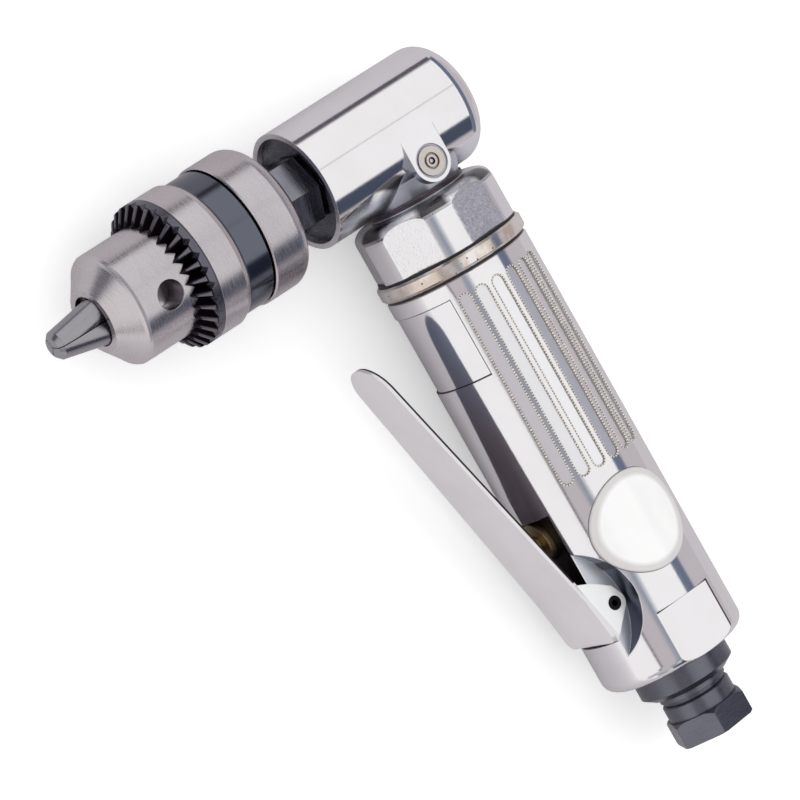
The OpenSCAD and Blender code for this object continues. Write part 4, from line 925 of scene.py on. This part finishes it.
        # Mirrored, the floor is greyer, brightens beyond the lever and has the card's other part
        coord = put(tree, "ShaderNodeTexCoord").outputs["Object"]
        place = put(tree, "ShaderNodeSeparateXYZ", {"Vector": coord})
        fade = step(tree, place.outputs["Y"], *self.floor_fade)
        table = mix(tree, fade, Light.TABLE.value, Light.BOX.value)
        card = self.corner(tree, place, self.card_place)
        grey = put(tree, "ShaderNodeBsdfDiffuse",
                   {"Color": mix(tree, card, table, Light.CARD.value)})
        path = put(tree, "ShaderNodeLightPath")
        clear = calc(tree, "MAXIMUM", path.outputs["Is Camera Ray"],
                     path.outputs["Is Transmission Ray"])
        seen = put(tree, "ShaderNodeMixShader",
                   {"Fac": clear, 1: matt.outputs["BSDF"], 2: bright.outputs["Shader"]})
        mirrored = put(tree, "ShaderNodeMixShader",
                       {"Fac": path.outputs["Is Glossy Ray"], 1: seen.outputs["Shader"],
                        2: grey.outputs["BSDF"]})
        put(tree, "ShaderNodeOutputMaterial", {"Surface": mirrored.outputs["Shader"]})
        mesh.materials.append(mat)
        floor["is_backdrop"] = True
        return floor


@dataclass
class FlutedGrip:
    """Rows of fine beads that the milling left along the edges of the flutes."""

    radius: float = 22.0
    flute_width: float = 3.8
    flute_pitch: float = 13.8
    start: float = 46.6
    end: float = 107.65
    end_steps: int = 8
    bead: float = 0.32
    bead_detail: int = 2
    bead_sizes: tuple[float, float] = (0.72, 1.15)
    bead_seed: int = 7
    spacing: float = 0.86
    line: float = 0.17
    line_sides: int = 6
    rows: tuple[float, ...] = (-2.5, -1.5, -0.5, 0.5, 1.5, 2.5)
    side_turns: tuple[float, ...] = (90, 270)

    def outline(self, turn: float) -> list[Vector]:
        """Edge of one flute on the handle's surface.

        Args:
            turn: Angle of the flute's middle from the chuck side, in degrees.

        Returns:
            Points of the closed outline, in metres.
        """
        half = self.flute_width / 2
        first, last = self.start + half, self.end - half
        arc = [math.pi * i / self.end_steps for i in range(1, self.end_steps)]
        flat = [(half, first), (half, last)]
        flat += [(half * math.cos(a), last + half * math.sin(a)) for a in arc]
        flat += [(-half, last), (-half, first)]
        flat += [(-half * math.cos(a), first - half * math.sin(a)) for a in arc]
        points = []
        for across, station in flat:
            angle = math.radians(turn) + math.asin(across / self.radius)
            reach, side = self.radius * math.cos(angle), self.radius * math.sin(angle)
            points.append(row_point(reach, side, station))
        return points

    def tree(self, material: bpy.types.Material, grime: bpy.types.Material) -> Tree:
        """Geometry nodes that set beads over a dark line along the edges.

        Args:
            material: Finish of the beads.
            grime: Finish of the line.

        Returns:
            The node group.
        """
        group = bpy.data.node_groups.new("flute_beads", "GeometryNodeTree")
        face = group.interface
        face.new_socket("Geometry", in_out="INPUT", socket_type="NodeSocketGeometry")
        for name in ("Bead radius", "Bead spacing", "Line radius"):
            face.new_socket(name, in_out="INPUT", socket_type="NodeSocketFloat")
        face.new_socket("Geometry", in_out="OUTPUT", socket_type="NodeSocketGeometry")
        given = put(group, "NodeGroupInput")
        curve = put(group, "GeometryNodeMeshToCurve", {"Mesh": given.outputs["Geometry"]})
        points = put(group, "GeometryNodeCurveToPoints",
                     {"Curve": curve.outputs["Curve"], "Length": given.outputs["Bead spacing"]},
                     mode="LENGTH")
        ball = put(group, "GeometryNodeMeshIcoSphere", {"Radius": given.outputs["Bead radius"]},
                   {"Subdivisions": self.bead_detail})
        # Inputs 2 and 3 and output 1 are those for plain numbers
        chance = put(group, "FunctionNodeRandomValue", None,
                     {2: self.bead_sizes[0], 3: self.bead_sizes[1], "Seed": self.bead_seed})
        beads = put(group, "GeometryNodeInstanceOnPoints",
                    {"Points": points.outputs["Points"], "Instance": ball.outputs["Mesh"],
                     "Scale": chance.outputs[1]})
        real = put(group, "GeometryNodeRealizeInstances", {"Geometry": beads.outputs["Instances"]})
        dressed = put(group, "GeometryNodeSetMaterial", {"Geometry": real.outputs["Geometry"]},
                      {"Material": material})
        profile = put(group, "GeometryNodeCurvePrimitiveCircle",
                      {"Radius": given.outputs["Line radius"]}, {"Resolution": self.line_sides})
        line = put(group, "GeometryNodeCurveToMesh",
                   {"Curve": curve.outputs["Curve"], "Profile Curve": profile.outputs["Curve"]})
        dirty = put(group, "GeometryNodeSetMaterial", {"Geometry": line.outputs["Mesh"]},
                    {"Material": grime})
        both = put(group, "GeometryNodeJoinGeometry")
        for part in (dressed, dirty):
            group.links.new(part.outputs["Geometry"], both.inputs["Geometry"])
        put(group, "NodeGroupOutput", {"Geometry": both.outputs["Geometry"]})
        return group

    def build(self) -> bpy.types.Object:
        """Makes the beads of all flutes.

        Returns:
            The finished piece, riding on the handle.
        """
        verts: list[Vector] = []
        edges: list[tuple[int, int]] = []
        for side in self.side_turns:
            for row in self.rows:
                ring = self.outline(side + row * self.flute_pitch)
                first = len(verts)
                verts += ring
                edges += [(first + i, first + (i + 1) % len(ring)) for i in range(len(ring))]
        mesh = bpy.data.meshes.new("flute_outlines")
        mesh.from_pydata(verts, edges, [])
        maker = bpy.data.objects.new("flute_outlines", mesh)
        bpy.context.scene.collection.objects.link(maker)
        group = self.tree(FLUTE_BEADS.build(), FLUTE_GRIME.build())
        modifier = maker.modifiers.new("beads", "NODES")
        modifier.node_group = group
        given = {"Bead radius": self.bead, "Bead spacing": self.spacing, "Line radius": self.line}
        for item in group.interface.items_tree:
            if item.in_out == "INPUT" and item.name in given:
                modifier[item.identifier] = given[item.name] * MM
        return finished_piece(maker, "flute_beads", "handle")


@dataclass
class ValveSpring:
    """Coil of the throttle valve."""

    wire: float = 0.8
    wire_detail: int = 2
    turns: int = 4
    rings: int = 32
    travel: float = 4.0

    def build(self, material: bpy.types.Material) -> bpy.types.Object:
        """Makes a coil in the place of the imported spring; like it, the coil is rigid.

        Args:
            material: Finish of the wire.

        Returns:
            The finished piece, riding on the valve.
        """
        low, high = (Vector(corner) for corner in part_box("valve_spring"))
        middle = (low + high) / 2
        wire = self.wire * MM
        radius = (high.x - low.x - wire) / 2
        rise = (high.y - low.y - wire) / (self.turns * self.rings)
        data = bpy.data.curves.new("spring_coil", "CURVE")
        data.dimensions = "3D"
        data.bevel_depth = wire / 2
        data.bevel_resolution = self.wire_detail
        data.use_fill_caps = True
        spline = data.splines.new("POLY")
        spline.points.add(self.turns * self.rings)
        for i, point in enumerate(spline.points):
            angle = math.tau * i / self.rings
            point.co = (middle.x - radius * math.sin(angle), high.y - wire / 2 - rise * i,
                        middle.z + radius * math.cos(angle), 1.0)
        data.materials.append(material)
        maker = bpy.data.objects.new("spring_coil", data)
        bpy.context.scene.collection.objects.link(maker)
        piece = finished_piece(maker, "spring_coil", "valve")
        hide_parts("valve_spring")
        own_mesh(piece)
        return piece


def finished_piece(maker: bpy.types.Object, name: str, body: str) -> bpy.types.Object:
    """Turns a curve or an object with modifiers into a plain mesh piece that rides on a body.

    Args:
        maker: Object whose evaluated mesh is wanted; it is removed.
        name: Name of the piece.
        body: Body that it rides on.

    Returns:
        The finished piece.
    """
    graph = bpy.context.evaluated_depsgraph_get()
    mesh = bpy.data.meshes.new_from_object(maker.evaluated_get(graph),
                                           preserve_all_data_layers=True, depsgraph=graph)
    bpy.data.objects.remove(maker)
    mesh.name = name
    mesh.shade_smooth()
    piece = bpy.data.objects.new(name, mesh)
    bpy.context.scene.collection.objects.link(piece)
    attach(piece, body)
    log.info("%s: %d faces, rides on %s", name, len(mesh.polygons), body)
    return piece


def dress_nodes(nodes: dict[str, bpy.types.Object]) -> None:
    """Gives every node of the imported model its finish.

    Args:
        nodes: Node names to their objects.
    """
    for finish, names in NODE_FINISHES:
        mat = finish.build()
        for name in names:
            data = nodes[name].data
            data.materials.clear()
            data.materials.append(mat)
        log.info("%s: %s", finish.name, ", ".join(names))


def main() -> None:
    """Builds the scene in order."""
    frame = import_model()
    before = tuple(v.copy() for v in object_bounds())
    bpy.context.scene.view_settings.view_transform = "Standard"
    studio = Studio()
    studio.camera()
    studio.world()
    studio.floor()
    dress_nodes(frame["nodes"])
    FlutedGrip().build()
    ValveSpring().build(frame["nodes"]["valve_spring"].data.materials[0])


if __name__ == "__main__":
    main()
